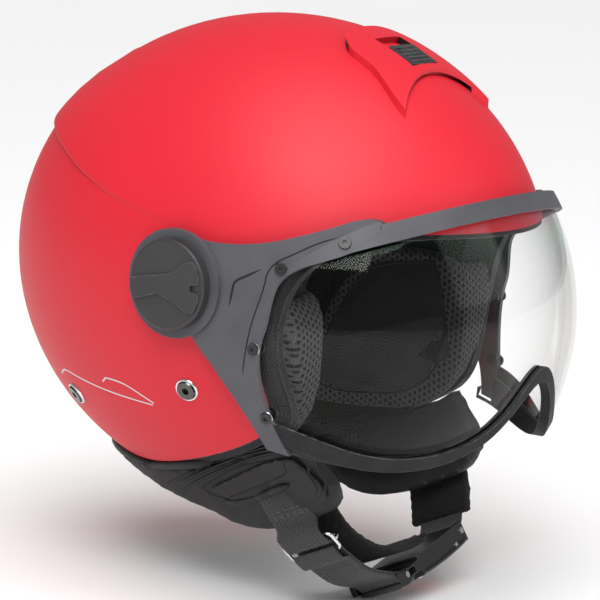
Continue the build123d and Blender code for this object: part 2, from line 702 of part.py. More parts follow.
with BuildPart() as release_lever:
    # Lever, finger tab and pawl in one piece round the pin
    pin_x, pin_z = LEVER_PIN
    front_x = WELL_START_X + LEVER_INSET
    add(buckle_block((front_x, pin_x), LEVER_HALF_WIDE, (pin_z - LEVER_INSET, pin_z + LEVER_ROUND_R)))
    add(buckle_block((front_x, front_x + TAB_LONG), LEVER_HALF_WIDE, (pin_z, pin_z + TAB_HIGH)))
    add(buckle_block((front_x + TAB_LONG - 2, front_x + TAB_LONG), LEVER_HALF_WIDE - 1, (PAWL_Z, pin_z)))
    add(bar_along(buckle_plane, pin_x, pin_z, LEVER_ROUND_R, LEVER_HALF_WIDE))
    add(bar_along(buckle_plane, pin_x, pin_z, LEVER_PIN_R + BAR_PLAY, STRAP_WIDE), mode=Mode.SUBTRACT)

with BuildPart() as lever_spring:
    # Two turns of the torsion spring on each side of the lever
    for side in (-1, 1):
        for turn_at in SPRING_TURNS:
            place = buckle_plane.from_local_coords((LEVER_PIN[0], side * turn_at, LEVER_PIN[1]))
            with Locations(Plane(origin=place, z_dir=buckle_plane.y_dir)):
                Torus(SPRING_R, SPRING_WIRE_R)

with BuildPart() as buckle_plate:
    with BuildSketch(buckle_plane.offset(BODY_Z[1])):
        with Locations(PLATE_AT):
            RectangleRounded(*PLATE_SIZE)
        with Locations(PLATE_AT):
            SlotOverall(*PLATE_SLOT, mode=Mode.SUBTRACT)
        with Locations(*PLATE_RIVETS):
            Circle(PLATE_RIVET_R, mode=Mode.SUBTRACT)
    extrude(amount=PLATE_THICK)

with BuildPart() as plate_rivets:
    for x, y in PLATE_RIVETS:
        with BuildSketch(buckle_plane.offset(BODY_Z[1])):
            with Locations((x, y)):
                Circle(PLATE_RIVET_R)
        extrude(amount=PLATE_THICK)
        with BuildSketch(buckle_plane.offset(BODY_Z[1] + PLATE_THICK)):
            with Locations((x, y)):
                Circle(PLATE_HEAD_R)
        extrude(amount=PLATE_HEAD_HIGH, taper=PLATE_DOME)

# ---------------------------------------------------------------- rivets on the shell
with BuildPart() as shell_rivets:
    for plane in rivet_planes:
        with BuildSketch(plane.offset(-RIVET_TAIL)):
            Circle(RIVET_R)
        extrude(amount=RIVET_TAIL)
        with BuildSketch(plane):
            Circle(RIVET_HEAD_R)
        extrude(amount=RIVET_HEAD_HIGH, taper=RIVET_DOME)
        with BuildSketch(plane.offset(RIVET_HEAD_HIGH)):
            Circle(RIVET_HOLE_R)
        extrude(amount=-RIVET_HEAD_HIGH, mode=Mode.SUBTRACT)
        with BuildSketch(plane.offset(-RIVET_TAIL)):
            Circle(RIVET_TAIL_R)
        extrude(amount=RIVET_TAIL_HIGH)

# ---------------------------------------------------------------- vent
with BuildPart() as vent_mouth:
    add(shell_form(COWL_HIGH - COWL_SKIN))
    add(side_block(outline_box(-HALF_SPACE, MOUTH_BACK_Y, INSIDE_Z, HALF_SPACE)), mode=Mode.INTERSECT)
    add(right_of(MOUTH_HALF_WIDE), mode=Mode.INTERSECT)
    add(right_of(-MOUTH_HALF_WIDE), mode=Mode.SUBTRACT)

with BuildPart() as vent_cowl:
    with BuildSketch(Plane.XY.offset(INSIDE_Z)):
        with BuildLine():
            far_side = [(-x, y) for x, y in reversed(COWL_SIDE)]
            Spline(*COWL_SIDE, COWL_REAR, *far_side)
            ThreePointArc(COWL_SIDE[0], (0, COWL_LIP_Y), far_side[-1])
        make_face()
    extrude(amount=HALF_SPACE)
    add(shell_form(COWL_HIGH), mode=Mode.INTERSECT)
    add(shell_outside, mode=Mode.SUBTRACT)
    # The mouth under the lip
    add(vent_mouth.part, mode=Mode.SUBTRACT)
    # The window the slider runs in
    with BuildSketch(vent_plane):
        with Locations((0, VENT_TRAVEL / 2)):
            Rectangle(VENT_WIDE + 2 * VENT_CLEAR, VENT_LONG + VENT_TRAVEL + 2 * VENT_CLEAR)
    extrude(amount=VENT_WINDOW_DEEP, both=True, mode=Mode.SUBTRACT)

with BuildPart() as vent_slider:
    with BuildSketch(vent_plane.offset(VENT_CLEAR)):
        RectangleRounded(VENT_WIDE, VENT_LONG, VENT_ROUND)
    extrude(amount=VENT_HIGH)
    with BuildSketch(vent_plane.offset(VENT_CLEAR + VENT_HIGH)):
        with GridLocations(0, VENT_RIB_PITCH, 1, VENT_RIBS):
            Rectangle(*VENT_RIB)
    extrude(amount=VENT_RIB_HIGH)

# ---------------------------------------------------------------- visor
lens_outside = ellipsoid(LENS_CENTRE, LENS_SEMI)
lens_inside = ellipsoid(LENS_CENTRE, grown(LENS_SEMI, -LENS_WALL))
arm_block = side_block(ARM_SIDE)


def above_low_edge(rise):
    """Everything above the visor's lower edge, raised a little, ahead of the face."""
    left = [(-x, z + rise) for x, z in reversed(VISOR_LOW[1:])]
    edge = left + [(x, z + rise) for x, z in VISOR_LOW]
    with BuildPart() as block:
        with BuildSketch(Plane.XZ):
            with BuildLine():
                Spline(*edge)
                Polyline(
                    edge[-1],
                    (HALF_SPACE, edge[-1][1]),
                    (HALF_SPACE, HALF_SPACE),
                    (-HALF_SPACE, HALF_SPACE),
                    (-HALF_SPACE, edge[0][1]),
                    edge[0],
                )
            make_face()
        extrude(amount=HALF_SPACE)
    return block.part


def below_rail(drop):
    """Everything under the rail's top line lowered by drop."""
    slope = (RAIL_BACK[1] - RAIL_FRONT[1]) / (RAIL_BACK[0] - RAIL_FRONT[0])
    back_y, back_z = RAIL_BACK[0], RAIL_BACK[1] - drop
    front_z = back_z - slope * (back_y + HALF_SPACE)
    corners = [(-HALF_SPACE, front_z), (back_y, back_z), (back_y, -HALF_SPACE), (-HALF_SPACE, -HALF_SPACE)]
    return side_block([list(edge) for edge in zip(corners, corners[1:] + corners[:1])])


arm_shapes = ((PIVOT_CENTRE, SWEEP_SEMI_OUT), (LENS_CENTRE, grown(LENS_SEMI, ARM_ON_LENS)))
screw_planes = both_sides([outermost_plane(arm_shapes, *spot) for spot in SCREW_SPOTS])

with BuildPart() as visor_arm_right:
    add(ellipsoid(PIVOT_CENTRE, SWEEP_SEMI_OUT))
    add(ellipsoid(LENS_CENTRE, grown(LENS_SEMI, ARM_ON_LENS)))
    add(ellipsoid(PIVOT_CENTRE, SWEEP_SEMI_IN), mode=Mode.SUBTRACT)
    add(lens_outside, mode=Mode.SUBTRACT)
    add(arm_block, mode=Mode.INTERSECT)
    add(right_of(0), mode=Mode.INTERSECT)
    # The hub: room for the base plate, a wall down to the arm's skin, a rim and a flat top
    with BuildSketch(pivot_plane.offset(INSIDE_X)):
        Circle(HUB_R - HUB_WALL)
    extrude(amount=HUB_IN_X - INSIDE_X, mode=Mode.SUBTRACT)
    with BuildSketch(pivot_plane.offset(HUB_SKIN_X)):
        Circle(HUB_R)
        Circle(HUB_R - HUB_WALL, mode=Mode.SUBTRACT)
        with Locations((-HUB_FRONT - HUB_R / 2, 0)):
            Rectangle(HUB_R, 2 * HUB_R, mode=Mode.INTERSECT)
    extrude(amount=HUB_OUT_X - HUB_SKIN_X)
    with BuildSketch(pivot_plane.offset(HUB_RIM_X)):
        Circle(HUB_R)
        Circle(HUB_R - HUB_WALL, mode=Mode.SUBTRACT)
    extrude(amount=HUB_OUT_X - HUB_RIM_X)
    with BuildSketch(pivot_plane.offset(HUB_IN_X)):
        Circle(HUB_R)
    extrude(amount=HUB_OUT_X - HUB_IN_X)
    with BuildSketch(pivot_plane.offset(INSIDE_X)):
        Circle(HUB_HOLE_R)
    extrude(amount=DEEP_CUT, mode=Mode.SUBTRACT)
    for plane in screw_planes:
        with BuildSketch(plane):
            Circle(SCREW_R)
        extrude(amount=SCREW_HOLE_DEEP, both=True, mode=Mode.SUBTRACT)
        with BuildSketch(plane):
            Circle(SCREW_HEAD_R)
        extrude(amount=SCREW_HEAD_ROOM, mode=Mode.SUBTRACT)

with BuildPart() as visor_lens:
    add(lens_outside)
    add(lens_inside, mode=Mode.SUBTRACT)
    add(side_block(LENS_SIDE), mode=Mode.INTERSECT)
    add(below_rail(LENS_UNDER_RAIL), mode=Mode.INTERSECT)
    add(above_low_edge(LENS_IN_TRIM), mode=Mode.INTERSECT)
    for plane in screw_planes:
        with BuildSketch(plane):
            Circle(SCREW_R)
        extrude(amount=SCREW_HOLE_DEEP, both=True, mode=Mode.SUBTRACT)

with BuildPart() as visor_rail:
    add(ellipsoid(LENS_CENTRE, grown(LENS_SEMI, RAIL_ON_LENS)))
    add(lens_outside, mode=Mode.SUBTRACT)
    add(below_rail(0), mode=Mode.INTERSECT)
    add(below_rail(RAIL_HIGH), mode=Mode.SUBTRACT)
    add(side_block(outline_box(-HALF_SPACE, RAIL_END_Y, -HALF_SPACE, HALF_SPACE)), mode=Mode.INTERSECT)
    add(arm_block, mode=Mode.SUBTRACT)

with BuildPart() as visor_trim:
    add(ellipsoid(LENS_CENTRE, grown(LENS_SEMI, TRIM_ON_LENS)))
    add(ellipsoid(LENS_CENTRE, grown(LENS_SEMI, -LENS_WALL - TRIM_IN_LENS)), mode=Mode.SUBTRACT)
    add(above_low_edge(0), mode=Mode.INTERSECT)
    add(above_low_edge(TRIM_HIGH), mode=Mode.SUBTRACT)
    add(side_block(LENS_SIDE), mode=Mode.INTERSECT)
    add(arm_block, mode=Mode.SUBTRACT)
    add(visor_lens.part, mode=Mode.SUBTRACT)

with BuildPart() as visor_screws:
    for plane in screw_planes:
        inner = depth_to(plane, LENS_CENTRE, grown(LENS_SEMI, -LENS_WALL))
        with BuildSketch(plane):
            Circle(SCREW_HEAD_R)
        extrude(amount=SCREW_HEAD_HIGH)
        with BuildSketch(plane.offset(SCREW_HEAD_HIGH)):
            RegularPolygon(SCREW_HEX_R, 6)
        extrude(amount=-SCREW_HEX_DEEP, mode=Mode.SUBTRACT)
        with BuildSketch(plane):
            Circle(SCREW_R)
        extrude(amount=-inner - NUT_HIGH)

with BuildPart() as visor_nuts:
    for plane in screw_planes:
        inner = depth_to(plane, LENS_CENTRE, grown(LENS_SEMI, -LENS_WALL))
        with BuildSketch(plane.offset(-inner + NUT_SEAT)):
            Circle(NUT_R)
            Circle(SCREW_R, mode=Mode.SUBTRACT)
        extrude(amount=-NUT_HIGH - NUT_SEAT)
    add(visor_lens.part, mode=Mode.SUBTRACT)

# ---------------------------------------------------------------- visor pivots
with BuildPart() as pivot_base_right:
    with BuildSketch(pivot_plane.offset(INSIDE_X)):
        Circle(BASE_R)
    extrude(amount=BASE_OUT_X - INSIDE_X)
    add(shell_outside, mode=Mode.SUBTRACT)
    with BuildSketch(pivot_plane.offset(BASE_OUT_X)):
        Circle(WASHER_R)
        Circle(BOSS_R + BOSS_PLAY, mode=Mode.SUBTRACT)
    extrude(amount=-WASHER_THICK, mode=Mode.SUBTRACT)
    with BuildSketch(pivot_plane.offset(BASE_OUT_X - WASHER_THICK)):
        Circle(BOSS_R)
    extrude(amount=BOSS_OUT_X - BASE_OUT_X + WASHER_THICK)
    with BuildSketch(pivot_plane.offset(BOSS_OUT_X)):
        Circle(SPIGOT_R)
    extrude(amount=SPIGOT_OUT_X - BOSS_OUT_X)
    with BuildSketch(pivot_plane.offset(INSIDE_X)):
        Circle(PIVOT_SCREW_R)
    extrude(amount=DEEP_CUT, mode=Mode.SUBTRACT)
    with BuildSketch(pivot_plane.offset(PIVOT_HEAD_IN_X)):
        Circle(PIVOT_HEAD_R + BAR_PLAY)
    extrude(amount=DEEP_CUT, mode=Mode.SUBTRACT)

with BuildPart() as friction_washer_right:
    with BuildSketch(pivot_plane.offset(BASE_OUT_X - WASHER_THICK)):
        Circle(WASHER_R - WASHER_PLAY)
        Circle(BOSS_R + BOSS_PLAY + WASHER_PLAY, mode=Mode.SUBTRACT)
    extrude(amount=WASHER_THICK)

with BuildPart() as pivot_screw_right:
    with BuildSketch(pivot_plane.offset(PIVOT_NUT_IN_X)):
        Circle(PIVOT_SCREW_R)
    extrude(amount=PIVOT_HEAD_IN_X - PIVOT_NUT_IN_X)
    with BuildSketch(pivot_plane.offset(PIVOT_HEAD_IN_X)):
        Circle(PIVOT_HEAD_R)
    extrude(amount=PIVOT_HEAD_OUT_X - PIVOT_HEAD_IN_X)
    with BuildSketch(pivot_plane.offset(PIVOT_HEAD_OUT_X)):
        RegularPolygon(PIVOT_HEX_R, 6)
    extrude(amount=-PIVOT_HEX_DEEP, mode=Mode.SUBTRACT)

with BuildPart() as pivot_cap_right:
    with BuildSketch(pivot_plane.offset(CAP_IN_X)):
        Circle(CAP_R)
    extrude(amount=CAP_OUT_X - CAP_IN_X)
    fillet(pivot_cap_right.edges().group_by(Axis.X)[0], radius=CAP_ROUND)
    with BuildSketch(pivot_plane.offset(CAP_IN_X)):
        Circle(CAP_R - CAP_WALL)
        Circle(CAP_BORE_R + CAP_WALL, mode=Mode.SUBTRACT)
    extrude(amount=CAP_HOLLOW, mode=Mode.SUBTRACT)
    with BuildSketch(pivot_plane.offset(CAP_IN_X)):
        Circle(CAP_BORE_R)
    extrude(amount=CAP_BORE_X - CAP_IN_X, mode=Mode.SUBTRACT)
    # A raised grip across the cap, narrow behind and wide in front
    with BuildSketch(pivot_plane.offset(CAP_OUT_X)):
        with BuildLine():
            Polyline(*GRIP, close=True)
        make_face()
        Circle(CAP_R - CAP_BAR_INSET, mode=Mode.INTERSECT)
    extrude(amount=CAP_BAR_X - CAP_OUT_X)

with BuildPart() as pivot_nuts:
    for plane in pivot_planes:
        with BuildSketch(plane.offset(PIVOT_NUT_IN_X)):
            Circle(PIVOT_NUT_R)
            Circle(PIVOT_SCREW_R, mode=Mode.SUBTRACT)
        extrude(amount=PIVOT_NUT_OUT_X - PIVOT_NUT_IN_X)

# ---------------------------------------------------------------- one file per sub-part
ONE_OFF = {
    "outer_shell": outer_shell,
    "shell_edge_trim": edge_trim,
    "strap_anchor_plates": anchor_plates,
    "foam_liner": foam_liner,
    "crown_liner": crown_liner,
    "brow_band": brow_band,
    "nape_pad": nape_pad,
    "neck_skirt": neck_skirt,
    "skirt_panel_right": skirt_panel_right,
    "skirt_panel_left": skirt_panel_left,
    "strap_webbing_right": strap_right,
    "strap_webbing_left": strap_left,
    "strap_cover": strap_cover,
    "strap_slide": strap_slide,
    "chin_pad": chin_pad,
    "tongue_bar": tongue_bar,
    "buckle_tongue": buckle_tongue,
    "buckle_body": buckle_body,
    "body_bar": body_bar,
    "buckle_plate": buckle_plate,
    "plate_rivets": plate_rivets,
    "release_lever": release_lever,
    "lever_pin": lever_pin,
    "lever_spring": lever_spring,
    "shell_rivets": shell_rivets,
    "vent_cowl": vent_cowl,
    "vent_slider": vent_slider,
    "visor_lens": visor_lens,
    "visor_rail": visor_rail,
    "visor_trim": visor_trim,
    "visor_screws": visor_screws,
    "visor_nuts": visor_nuts,
    "pivot_nuts": pivot_nuts,
}
PAIRS = {
    "cheek_pad": cheek_pad_right,
    "visor_arm": visor_arm_right,
    "pivot_base": pivot_base_right,
    "friction_washer": friction_washer_right,
    "pivot_screw": pivot_screw_right,
    "pivot_cap": pivot_cap_right,
}

os.makedirs("parts", exist_ok=True)
finished = {name: piece.part for name, piece in ONE_OFF.items()}
for name, piece in PAIRS.items():
    finished[name + "_right"] = piece.part
    finished[name + "_left"] = mirrored_part(piece)
for name, solid in finished.items():
    solid.label = name
    export_step(solid, f"parts/{name}.step")
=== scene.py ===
from math import atan2, cos, pi, radians, sin, sqrt

import bpy
from mathutils import Matrix, Vector
from mathutils.bvhtree import BVHTree


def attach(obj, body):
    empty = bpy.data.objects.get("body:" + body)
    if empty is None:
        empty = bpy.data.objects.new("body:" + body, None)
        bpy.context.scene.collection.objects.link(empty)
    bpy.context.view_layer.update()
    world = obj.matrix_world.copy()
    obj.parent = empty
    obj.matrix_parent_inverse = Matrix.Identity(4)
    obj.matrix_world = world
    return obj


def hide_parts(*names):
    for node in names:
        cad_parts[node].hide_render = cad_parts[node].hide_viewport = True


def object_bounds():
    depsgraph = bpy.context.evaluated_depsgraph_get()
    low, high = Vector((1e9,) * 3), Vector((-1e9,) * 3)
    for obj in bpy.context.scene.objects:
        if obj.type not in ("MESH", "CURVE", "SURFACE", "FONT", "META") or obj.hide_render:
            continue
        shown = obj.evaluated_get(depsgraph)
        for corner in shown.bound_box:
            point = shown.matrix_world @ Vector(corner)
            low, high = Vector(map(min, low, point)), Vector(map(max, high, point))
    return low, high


# Open-face helmet with a lifting visor. Metres; the face looks along -Y, +Z is up
# and the wearer's right side is -X.
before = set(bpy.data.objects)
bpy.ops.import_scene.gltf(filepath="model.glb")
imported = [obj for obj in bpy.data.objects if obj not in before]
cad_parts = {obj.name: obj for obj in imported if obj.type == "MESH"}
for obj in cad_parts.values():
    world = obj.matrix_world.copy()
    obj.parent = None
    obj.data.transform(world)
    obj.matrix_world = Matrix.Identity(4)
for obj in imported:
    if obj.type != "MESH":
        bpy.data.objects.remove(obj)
CAD_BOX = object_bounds()
MM = 0.001

SHELL_CENTRE = Vector((0, -2, 2.5)) * MM
SHELL_SEMI = Vector((114.3, 141.3, 125)) * MM
SHELL_REAR = 146 * MM
PIVOT = Vector((0, -20, 5)) * MM


# ---------------------------------------------------------------- materials
class Finish:
    """A node material under construction, with its Principled shader at hand."""

    def __init__(self, name, colour, rough, metal=0.0, **inputs):
        self.material = bpy.data.materials.new(name)
        self.material.use_nodes = True
        self.tree = self.material.node_tree
        self.shader = self.tree.nodes["Principled BSDF"]
        self.colour = (*colour, 1.0)
        self.shader.inputs["Base Color"].default_value = self.colour
        self.shader.inputs["Roughness"].default_value = rough
        self.shader.inputs["Metallic"].default_value = metal
        for key, value in inputs.items():
            self.shader.inputs[key.replace("_", " ")].default_value = value
        self.last_bump = None
        self.place = self.node("ShaderNodeTexCoord").outputs["Object"]

    def node(self, kind, **settings):
        made = self.tree.nodes.new(kind)
        for key, value in settings.items():
            if hasattr(made, key):
                setattr(made, key, value)
            else:
                made.inputs[key.replace("_", " ")].default_value = value
        return made

    def link(self, source, target):
        self.tree.links.new(source, target)
        return source

    def math(self, operation, a, b=0.0, clamp=False):
        made = self.node("ShaderNodeMath", operation=operation, use_clamp=clamp)
        for socket, value in zip(made.inputs, (a, b)):
            if isinstance(value, (int, float)):
                socket.default_value = value
            else:
                self.link(value, socket)
        return made.outputs[0]

    def noise(self, scale, detail=3.0, rough=0.55, place=None):
        made = self.node("ShaderNodeTexNoise", Scale=scale, Detail=detail, Roughness=rough)
        self.link(place or self.place, made.inputs["Vector"])
        return made.outputs["Fac"]

    def cells(self, scale, place=None, feature="F1"):
        made = self.node("ShaderNodeTexVoronoi", feature=feature, Scale=scale)
        self.link(place or self.place, made.inputs["Vector"])
        return made.outputs["Distance"]

    def span(self, value, low, high, to_low=0.0, to_high=1.0):
        made = self.node("ShaderNodeMapRange")
        self.link(value, made.inputs["Value"])
        for key, number in zip(("From Min", "From Max", "To Min", "To Max"), (low, high, to_low, to_high)):
            made.inputs[key].default_value = number
        return made.outputs["Result"]

    def tint(self, fac, colour, amount=1.0):
        """Mixes another colour in where fac is 1."""
        mix = self.node("ShaderNodeMix", data_type="RGBA")
        self.link(self.math("MULTIPLY", fac, amount), mix.inputs[0])
        into = self.shader.inputs["Base Color"]
        if into.links:
            self.link(into.links[0].from_socket, mix.inputs[6])
        else:
            mix.inputs[6].default_value = self.colour
        mix.inputs[7].default_value = (*colour, 1.0)
        self.link(mix.outputs[2], into)
        return self

    def gloss(self, value, low, high):
        """Roughness from low to high as the value goes from 0 to 1."""
        self.link(self.span(value, 0, 1, low, high), self.shader.inputs["Roughness"])
        return self

    def bump(self, height, depth, strength=1.0):
        """Adds a bump whose height of 1 stands for a depth in metres."""
        made = self.node("ShaderNodeBump", Strength=strength, Distance=depth)
        self.link(height, made.inputs["Height"])
        if self.last_bump:
            self.link(self.last_bump, made.inputs["Normal"])
        self.last_bump = made.outputs["Normal"]
        self.link(self.last_bump, self.shader.inputs["Normal"])
        return self

    def worn_and_highlit_edges(self, colour, amount, radius=0.0006):
        """A lighter colour along edges, from how far a bevelled normal turns away: partly rubbed wear, partly
        a painted highlight along the edges.
        """
        bevel = self.node("ShaderNodeBevel", samples=4, Radius=radius)
        here = self.node("ShaderNodeNewGeometry").outputs["Normal"]
        dot = self.node("ShaderNodeVectorMath", operation="DOT_PRODUCT")
        self.link(bevel.outputs[0], dot.inputs[0])
        self.link(here, dot.inputs[1])
        # Painted highlight and wear: this edge mask lightens the colour along every edge.
        rub_and_glint = self.span(dot.outputs["Value"], 0.995, 0.85)
        patchy = self.math("MULTIPLY", rub_and_glint, self.span(self.noise(260), 0.35, 0.65), clamp=True)
        return self.tint(patchy, colour, amount)

    def uv(self, scale_u=1.0, scale_v=1.0):
        """The piece's own cloth coordinates, in metres, scaled."""
        move = self.node("ShaderNodeMapping")
        move.inputs["Scale"].default_value = (scale_u, scale_v, 1.0)
        self.link(self.node("ShaderNodeUVMap", uv_map="cloth").outputs[0], move.inputs["Vector"])
        return move.outputs[0]

    def waves(self, place, way, count):
        """Cosine ridges from 0 to 1, count to the metre along a direction of place."""
        dot = self.node("ShaderNodeVectorMath", operation="DOT_PRODUCT")
        self.link(place, dot.inputs[0])
        dot.inputs[1].default_value = way
        phase = self.math("MULTIPLY", dot.outputs["Value"], 2 * pi * count)
        return self.span(self.math("COSINE", phase), -1, 1)


def hex_holes(finish, pitch):
    """Round holes in a honeycomb layout: 1 in a hole, 0 on the threads between."""
    place = finish.uv()
    total = None
    for degrees_round in (0, 60, 120):
        angle = radians(degrees_round)
        ridge = finish.waves(place, (cos(angle), sin(angle), 0), 1 / (pitch * 0.866))
        total = ridge if total is None else finish.math("ADD", total, ridge)
    return finish.span(total, 1.15, 1.95)


def make_paint():
    f = Finish("red_paint", (0.65, 0.014, 0.030), 0.58, Specular_IOR_Level=0.32)
    f.tint(f.span(f.noise(9, 2), 0.3, 0.75), (0.58, 0.013, 0.026), 0.55)
    f.tint(f.span(f.noise(2600, 1), 0.55, 0.8), (0.72, 0.05, 0.05), 0.25)
    f.gloss(f.noise(1400, 2), 0.40, 0.54)
    f.bump(f.noise(1900, 2), 0.00004, 0.5)
    f.worn_and_highlit_edges((0.78, 0.10, 0.10), 0.4)
    # The moulded inner faces are bare black.
    where = f.node("ShaderNodeNewGeometry")
    facing_out = f.node("ShaderNodeVectorMath", operation="DOT_PRODUCT")
    f.link(where.outputs["Position"], facing_out.inputs[0])
    f.link(where.outputs["True Normal"], facing_out.inputs[1])
    return f.tint(f.span(facing_out.outputs["Value"], 0.0, -0.01), (0.010, 0.010, 0.010)).material


def make_moulded(name, colour, rough, grain=2400, depth=0.00006, edge=(0.12, 0.12, 0.125)):
    f = Finish(name, colour, rough, Specular_IOR_Level=0.45)
    light = tuple(min(1.0, c * 1.5 + 0.004) for c in colour)
    f.tint(f.span(f.noise(40, 4), 0.35, 0.7), light, 0.5)
    f.gloss(f.noise(160, 4), rough - 0.07, rough + 0.09)
    f.bump(f.cells(grain), depth, 0.6)
    # Lighter edges: partly rubbed wear, partly a painted highlight along the edges of the black plastic.
    return f.worn_and_highlit_edges(edge, 0.7).material


def make_rubber():
    f = Finish("rubber", (0.011, 0.011, 0.012), 0.62, Specular_IOR_Level=0.28)
    f.tint(f.span(f.noise(120, 5), 0.45, 0.75), (0.030, 0.030, 0.031), 0.5)
    f.gloss(f.noise(300, 3), 0.52, 0.72)
    f.bump(f.noise(1600, 3), 0.00008, 0.5)
    # The pale edge colour on the black rubber is a painted highlight line along the trims' edges, with some
    # rubbed wear.
    return f.worn_and_highlit_edges((0.20, 0.20, 0.21), 0.8, 0.0008).material


def make_metal(name, colour, low, high, streak=(1, 1, 1)):
    f = Finish(name, colour, low, metal=1.0)
    stretch = f.node("ShaderNodeMapping")
    stretch.inputs["Scale"].default_value = streak
    f.link(f.place, stretch.inputs["Vector"])
    grain = f.noise(700, 4, place=stretch.outputs[0])
    f.gloss(grain, low, high)
    f.tint(f.span(f.noise(260, 4), 0.5, 0.75), tuple(c * 0.6 for c in colour), 0.5)
    f.bump(grain, 0.00002, 0.4)
    return f.worn_and_highlit_edges(tuple(min(1.0, c * 1.2) for c in colour), 0.4).material


def make_foam():
    f = Finish("moulded_foam", (0.012, 0.012, 0.012), 0.9, Specular_IOR_Level=0.15)
    beads = f.cells(330)
    f.tint(f.span(beads, 0.2, 0.7), (0.005, 0.005, 0.005), 0.8)
    f.bump(f.math("SUBTRACT", 1.0, beads), 0.0006, 0.7)
    return f.material


def make_lens():
    """Clear polycarbonate: nothing but its reflections, which grow at a grazing angle."""
    f = Finish("clear_lens", (0.70, 0.69, 0.67), 0.03, metal=1.0)
    rim = f.node("ShaderNodeLayerWeight", Blend=0.5).outputs["Facing"]
    grazing = f.span(f.math("POWER", rim, 3.2), 0, 1, 0.010, 0.9)
    film = f.span(f.noise(14, 2), 0.4, 0.7, 0.0, 0.004)
    f.link(f.math("ADD", grazing, film, clamp=True), f.shader.inputs["Alpha"])
    f.gloss(f.noise(60, 3), 0.015, 0.05)
    z = f.node("ShaderNodeSeparateXYZ")
    f.link(f.place, z.inputs[0])
    bands = f.span(z.outputs["Z"], 0.012, 0.055)
    hue = f.node("ShaderNodeValToRGB")
    ramp = hue.color_ramp
    stops = ((0.0, (0.70, 0.69, 0.67)), (0.45, (0.66, 0.86, 0.74)), (0.62, (0.92, 0.62, 0.72)),
             (0.8, (0.66, 0.72, 0.93)))
    for index, (at, colour) in enumerate(stops):
        stop = ramp.elements[index] if index < 2 else ramp.elements.new(at)
        stop.position = at
        stop.color = (*colour, 1.0)
    f.link(f.math("ADD", bands, f.span(f.noise(22, 2), 0, 1, -0.12, 0.12)), hue.inputs[0])
    f.link(hue.outputs[0], f.shader.inputs["Base Color"])
    return f.material


def make_knit(name, colour, count=900):
    f = Finish(name, colour, 0.9, Specular_IOR_Level=0.2, Sheen_Weight=0.06, Sheen_Roughness=0.5)
    place = f.uv()
    rows, stitches = f.waves(place, (0, 1, 0), count), f.waves(place, (1, 0.45, 0), count)
    loops = f.math("MULTIPLY", rows, stitches)
    f.tint(f.span(loops, 0.0, 0.6), tuple(c * 2.1 for c in colour), 0.6)
    f.tint(f.span(f.noise(45, 4), 0.4, 0.7), tuple(c * 0.55 for c in colour), 0.6)
    f.bump(loops, 0.0003, 0.8)
    return f.bump(f.noise(120, 4), 0.0006, 0.35).material


def make_mesh_cloth(name, colour, pitch=0.0034):
    f = Finish(name, colour, 0.85, Specular_IOR_Level=0.25, Sheen_Weight=0.08, Sheen_Roughness=0.5)
    holes = hex_holes(f, pitch)
    f.tint(f.span(f.noise(2200, 2), 0.35, 0.7), tuple(c * 1.8 for c in colour), 0.6)
    f.tint(holes, (0.004, 0.004, 0.004), 0.97)
    f.bump(f.math("SUBTRACT", 1.0, holes), 0.0009, 0.9)
    return f.bump(f.noise(1500, 2), 0.0001, 0.4).material


def make_leatherette():
    f = Finish("leatherette", (0.010, 0.010, 0.011), 0.5, Specular_IOR_Level=0.3)
    pores = f.cells(1300)
    f.tint(f.span(f.noise(30, 4), 0.4, 0.7), (0.022, 0.022, 0.024), 0.7)
    f.tint(f.span(pores, 0.55, 0.15), (0.008, 0.008, 0.008), 0.5)
    f.gloss(f.noise(90, 4), 0.40, 0.60)
    f.bump(pores, 0.00016, 0.6)
    return f.bump(f.noise(28, 3), 0.0025, 0.25).material


def make_webbing():
    f = Finish("webbing", (0.018, 0.018, 0.019), 0.78, Sheen_Weight=0.15)
    place = f.uv()
    ribs, picks = f.waves(place, (0, 1, 0), 420), f.waves(place, (1, 0, 0), 640)
    skew = f.waves(place, (0.5, 0.86, 0), 840)
    weave = f.math("MAXIMUM", f.math("MULTIPLY", ribs, picks), f.math("MULTIPLY", skew, 0.55))
    f.tint(f.span(weave, 0.2, 0.95), (0.058, 0.058, 0.061), 0.75)
    f.tint(f.span(f.noise(900, 3), 0.45, 0.7), (0.012, 0.012, 0.012), 0.6)
    f.bump(weave, 0.0005, 0.9)
    return f.bump(f.noise(2600, 2), 0.0001, 0.4).material


def make_thread(name, colour):
    f = Finish(name, colour, 0.7, Sheen_Weight=0.3)
    f.tint(f.span(f.noise(1800, 2), 0.4, 0.7), tuple(min(1.0, c * 1.8) for c in colour), 0.7)
    return f.bump(f.noise(3000, 2), 0.0001, 0.6).material


def make_silver():
    f = Finish("silver_film", (0.62, 0.60, 0.60), 0.32, metal=0.7)
    f.tint(f.span(f.noise(900, 3), 0.45, 0.7), (0.45, 0.40, 0.40), 0.5)
    return f.gloss(f.noise(400, 3), 0.26, 0.42).material


PAINT = make_paint()
ARM = make_moulded("arm_plastic", (0.062, 0.062, 0.071), 0.50)
# The cap's edge colour is about ten times its own: a painted highlight outlining the grip's edges.
CAP = make_moulded("cap_plastic", (0.026, 0.024, 0.026), 0.42, edge=(0.24, 0.24, 0.25))
BUCKLE = make_moulded("buckle_plastic", (0.009, 0.009, 0.010), 0.36, grain=3000, depth=0.00003)
RED = make_moulded("red_plastic", (0.62, 0.010, 0.012), 0.30, grain=3000, depth=0.00002,
                   edge=(0.85, 0.2, 0.2))
RUBBER = make_rubber()
CHROME = make_metal("chrome", (0.78, 0.78, 0.79), 0.05, 0.20)
